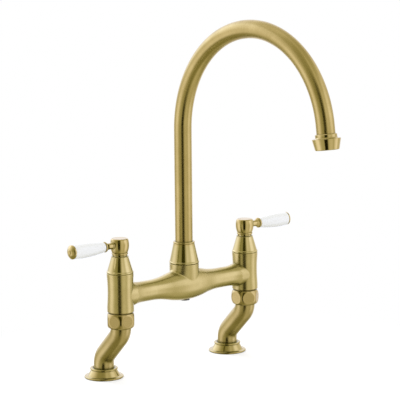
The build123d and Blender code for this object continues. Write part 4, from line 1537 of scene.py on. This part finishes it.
def add_camera():
    """The camera, at the photo's angle."""
    right, up, back, level = camera_axes()
    target = Vector((0, -crank_offset, look_height)) + look_across * level
    camera = shown("camera", bpy.data.cameras.new("camera"))
    camera.data.lens = photo_lens
    camera.data.clip_end = 50
    turn = Matrix((right, up, back)).transposed().to_4x4()
    camera.matrix_world = Matrix.Translation((target + photo_distance * back) * MM) @ turn
    bpy.context.scene.camera = camera


def add_world():
    """A studio round the tap: rings of panels, and white for what the camera sees."""
    world = bpy.data.worlds.new("studio")
    bpy.context.scene.world = world
    world.use_nodes = True
    world.cycles.sampling_method = "NONE"
    sky = Nodes(world.node_tree)
    way = sky.node("ShaderNodeTexCoord").outputs["Generated"]
    x, y, z = sky.node("ShaderNodeSeparateXYZ", Vector=way).outputs
    past_front = sky.math("SUBTRACT", sky.math("ARCTAN2", y, x), photo_azimuth - math.pi / 2)
    turns = sky.math("DIVIDE", past_front, math.tau)
    share = sky.math("FRACT", sky.math("ADD", turns, 10.5))  # a half turn, and ten to stay above 0
    studio = sky.ramp(share, panel_stops(UNDERFOOT))
    for start, end, ring in RINGS:
        past = sky.result("ShaderNodeMapRange", z, start, end, interpolation_type="SMOOTHSTEP")
        studio = sky.mix(past, studio, sky.ramp(share, panel_stops(ring)))
    rays = sky.node("ShaderNodeLightPath").outputs
    soft = sky.math("MULTIPLY_ADD", z, *soft_light)
    studio = sky.mix(rays["Is Diffuse Ray"], studio, soft)
    seen = sky.math("MAXIMUM", rays["Is Camera Ray"], rays["Is Transmission Ray"])
    background = sky.result("ShaderNodeBackground", sky.mix(seen, studio, WHITE))
    sky.node("ShaderNodeOutputWorld", Surface=background)


def panel_stops(ring):
    """A ring's ramp: the share of the turn from straight behind, and the panel's colour."""
    return [((degrees + 180) / 360, panel_colour(level)) for degrees, level in ring]


def panel_colour(level):
    """Dim panels are warm, and glaring ones a little green."""
    glare = max(0, level - 0.8)
    return (level, level * (1 + 0.2 * glare), 1.3 * level**1.7, 1)


# Brightness of each ring of panels by degrees round the tap; 0 is the camera's side and + is
# the picture's right.
LEVEL = (
    (-180, 1.0), (-150, 0.86), (-132, 0.44), (-116, 0.46), (-104, 0.70), (-92, 0.90), (-72, 0.90),
    (-60, 0.62), (-46, 0.44), (-22, 0.38), (-17, 0.01), (6, 0.01), (12, 0.38), (22, 0.56), (44, 0.60),
    (60, 0.46), (72, 0.76), (92, 0.94), (106, 0.60), (126, 0.54), (152, 0.85), (180, 1.0),
)
HIGH = (
    (-180, 1.0), (-150, 1.15), (-130, 1.35), (-112, 1.1), (-90, 0.88), (-72, 0.60), (-52, 0.33),
    (-24, 0.26), (-17, 0.03), (6, 0.04), (12, 0.35), (28, 0.70), (52, 0.60), (70, 0.98), (92, 0.92),
    (110, 0.66), (150, 0.76), (180, 1.0),
)
TOP = (
    (-180, 0.60), (-145, 0.66), (-108, 0.70), (-70, 0.46), (-48, 0.34), (-10, 0.34), (8, 0.38),
    (28, 0.58), (60, 0.44), (130, 0.42), (155, 0.52), (180, 0.60),
)
UNDERFOOT = (
    (-180, 0.46), (-130, 0.30), (-90, 0.27), (-10, 0.25), (10, 0.38), (30, 0.54), (80, 0.50),
    (120, 0.32), (150, 0.26), (180, 0.46),
)
# Between which heights (sines of the elevation) each ring takes over from the one below it.
RINGS = ((-0.74, -0.42, LEVEL), (-0.10, 0.24, HIGH), (0.54, 0.74, TOP))
soft_light = (0.15, 0.92)  # light on matt faces: how much it grows upwards, and its mean
WHITE = (1, 1, 1, 1)
FLOOR_GREY = (0.62, 0.62, 0.62, 1)
BOUNCED_GREY = (0.85, 0.85, 0.85, 1)  # what the floor sends back up onto the tap
floor_glow = 0.46
floor_r = 0.4  # m
floor_fade = (0.2, 0.38)  # m, from where to where the seen floor fades to white


def add_floor():
    """A wide pale floor that keeps the tap's shadow."""
    mesh = bpy.data.meshes.new("floor")
    shell = bmesh.new()
    bmesh.ops.create_circle(shell, cap_ends=True, segments=96, radius=floor_r)
    shell.to_mesh(mesh)
    shell.free()
    floor = shown("floor", mesh)
    floor.location.y = -0.1
    floor.data.materials.append(floor_finish())


def floor_finish():
    """Pale matt floor; what the camera sees of it fades to white away from the tap."""
    material = bpy.data.materials.new("pale_floor")
    material.use_nodes = True
    floor = Nodes(material.node_tree)
    place = floor.node("ShaderNodeTexCoord").outputs["Object"]
    reach = floor.result("ShaderNodeVectorMath", place, operation="LENGTH")
    fade = floor.result("ShaderNodeMapRange", reach, *floor_fade, interpolation_type="SMOOTHSTEP")
    matt = floor.result("ShaderNodeBsdfDiffuse", FLOOR_GREY)
    glow = floor.result("ShaderNodeEmission", WHITE, floor_glow)
    white = floor.result("ShaderNodeEmission", WHITE, 1.0)
    seen = floor.result("ShaderNodeAddShader", matt, glow)
    seen = floor.result("ShaderNodeMixShader", fade, seen, white)
    bounced = floor.result("ShaderNodeBsdfDiffuse", BOUNCED_GREY)
    clear = floor.result("ShaderNodeBsdfTransparent")
    rays = floor.node("ShaderNodeLightPath").outputs
    unseen = floor.result("ShaderNodeMixShader", rays["Is Glossy Ray"], bounced, clear)
    look = floor.result("ShaderNodeMixShader", rays["Is Camera Ray"], unseen, seen)
    floor.node("ShaderNodeOutputMaterial", Surface=look)
    return material


def add_lamp():
    """One wide soft lamp above the tap."""
    lamp = shown("top_light", bpy.data.lights.new("top_light", "AREA"))
    lamp.data.shape = "DISK"
    lamp.data.size = 1.4
    lamp.data.energy = 14
    lamp.visible_camera = False
    lamp.visible_glossy = False
    lamp.location = (0.28, 1.5, 1.45)
    aim = Vector((0, -0.1, 0.2)) - lamp.location
    lamp.rotation_mode = "QUATERNION"
    lamp.rotation_quaternion = aim.to_track_quat("-Z", "Y")


def main():
    """Dresses the tap and sets the studio round it."""
    finishes = all_finishes()
    dress_inside(finishes)
    for name, side in SIDES.items():
        dress_side(name, side, finishes)
    dress_middle(finishes)
    add_floor()
    add_world()
    add_lamp()
    add_camera()
    bpy.context.scene.view_settings.view_transform = "Standard"


main()
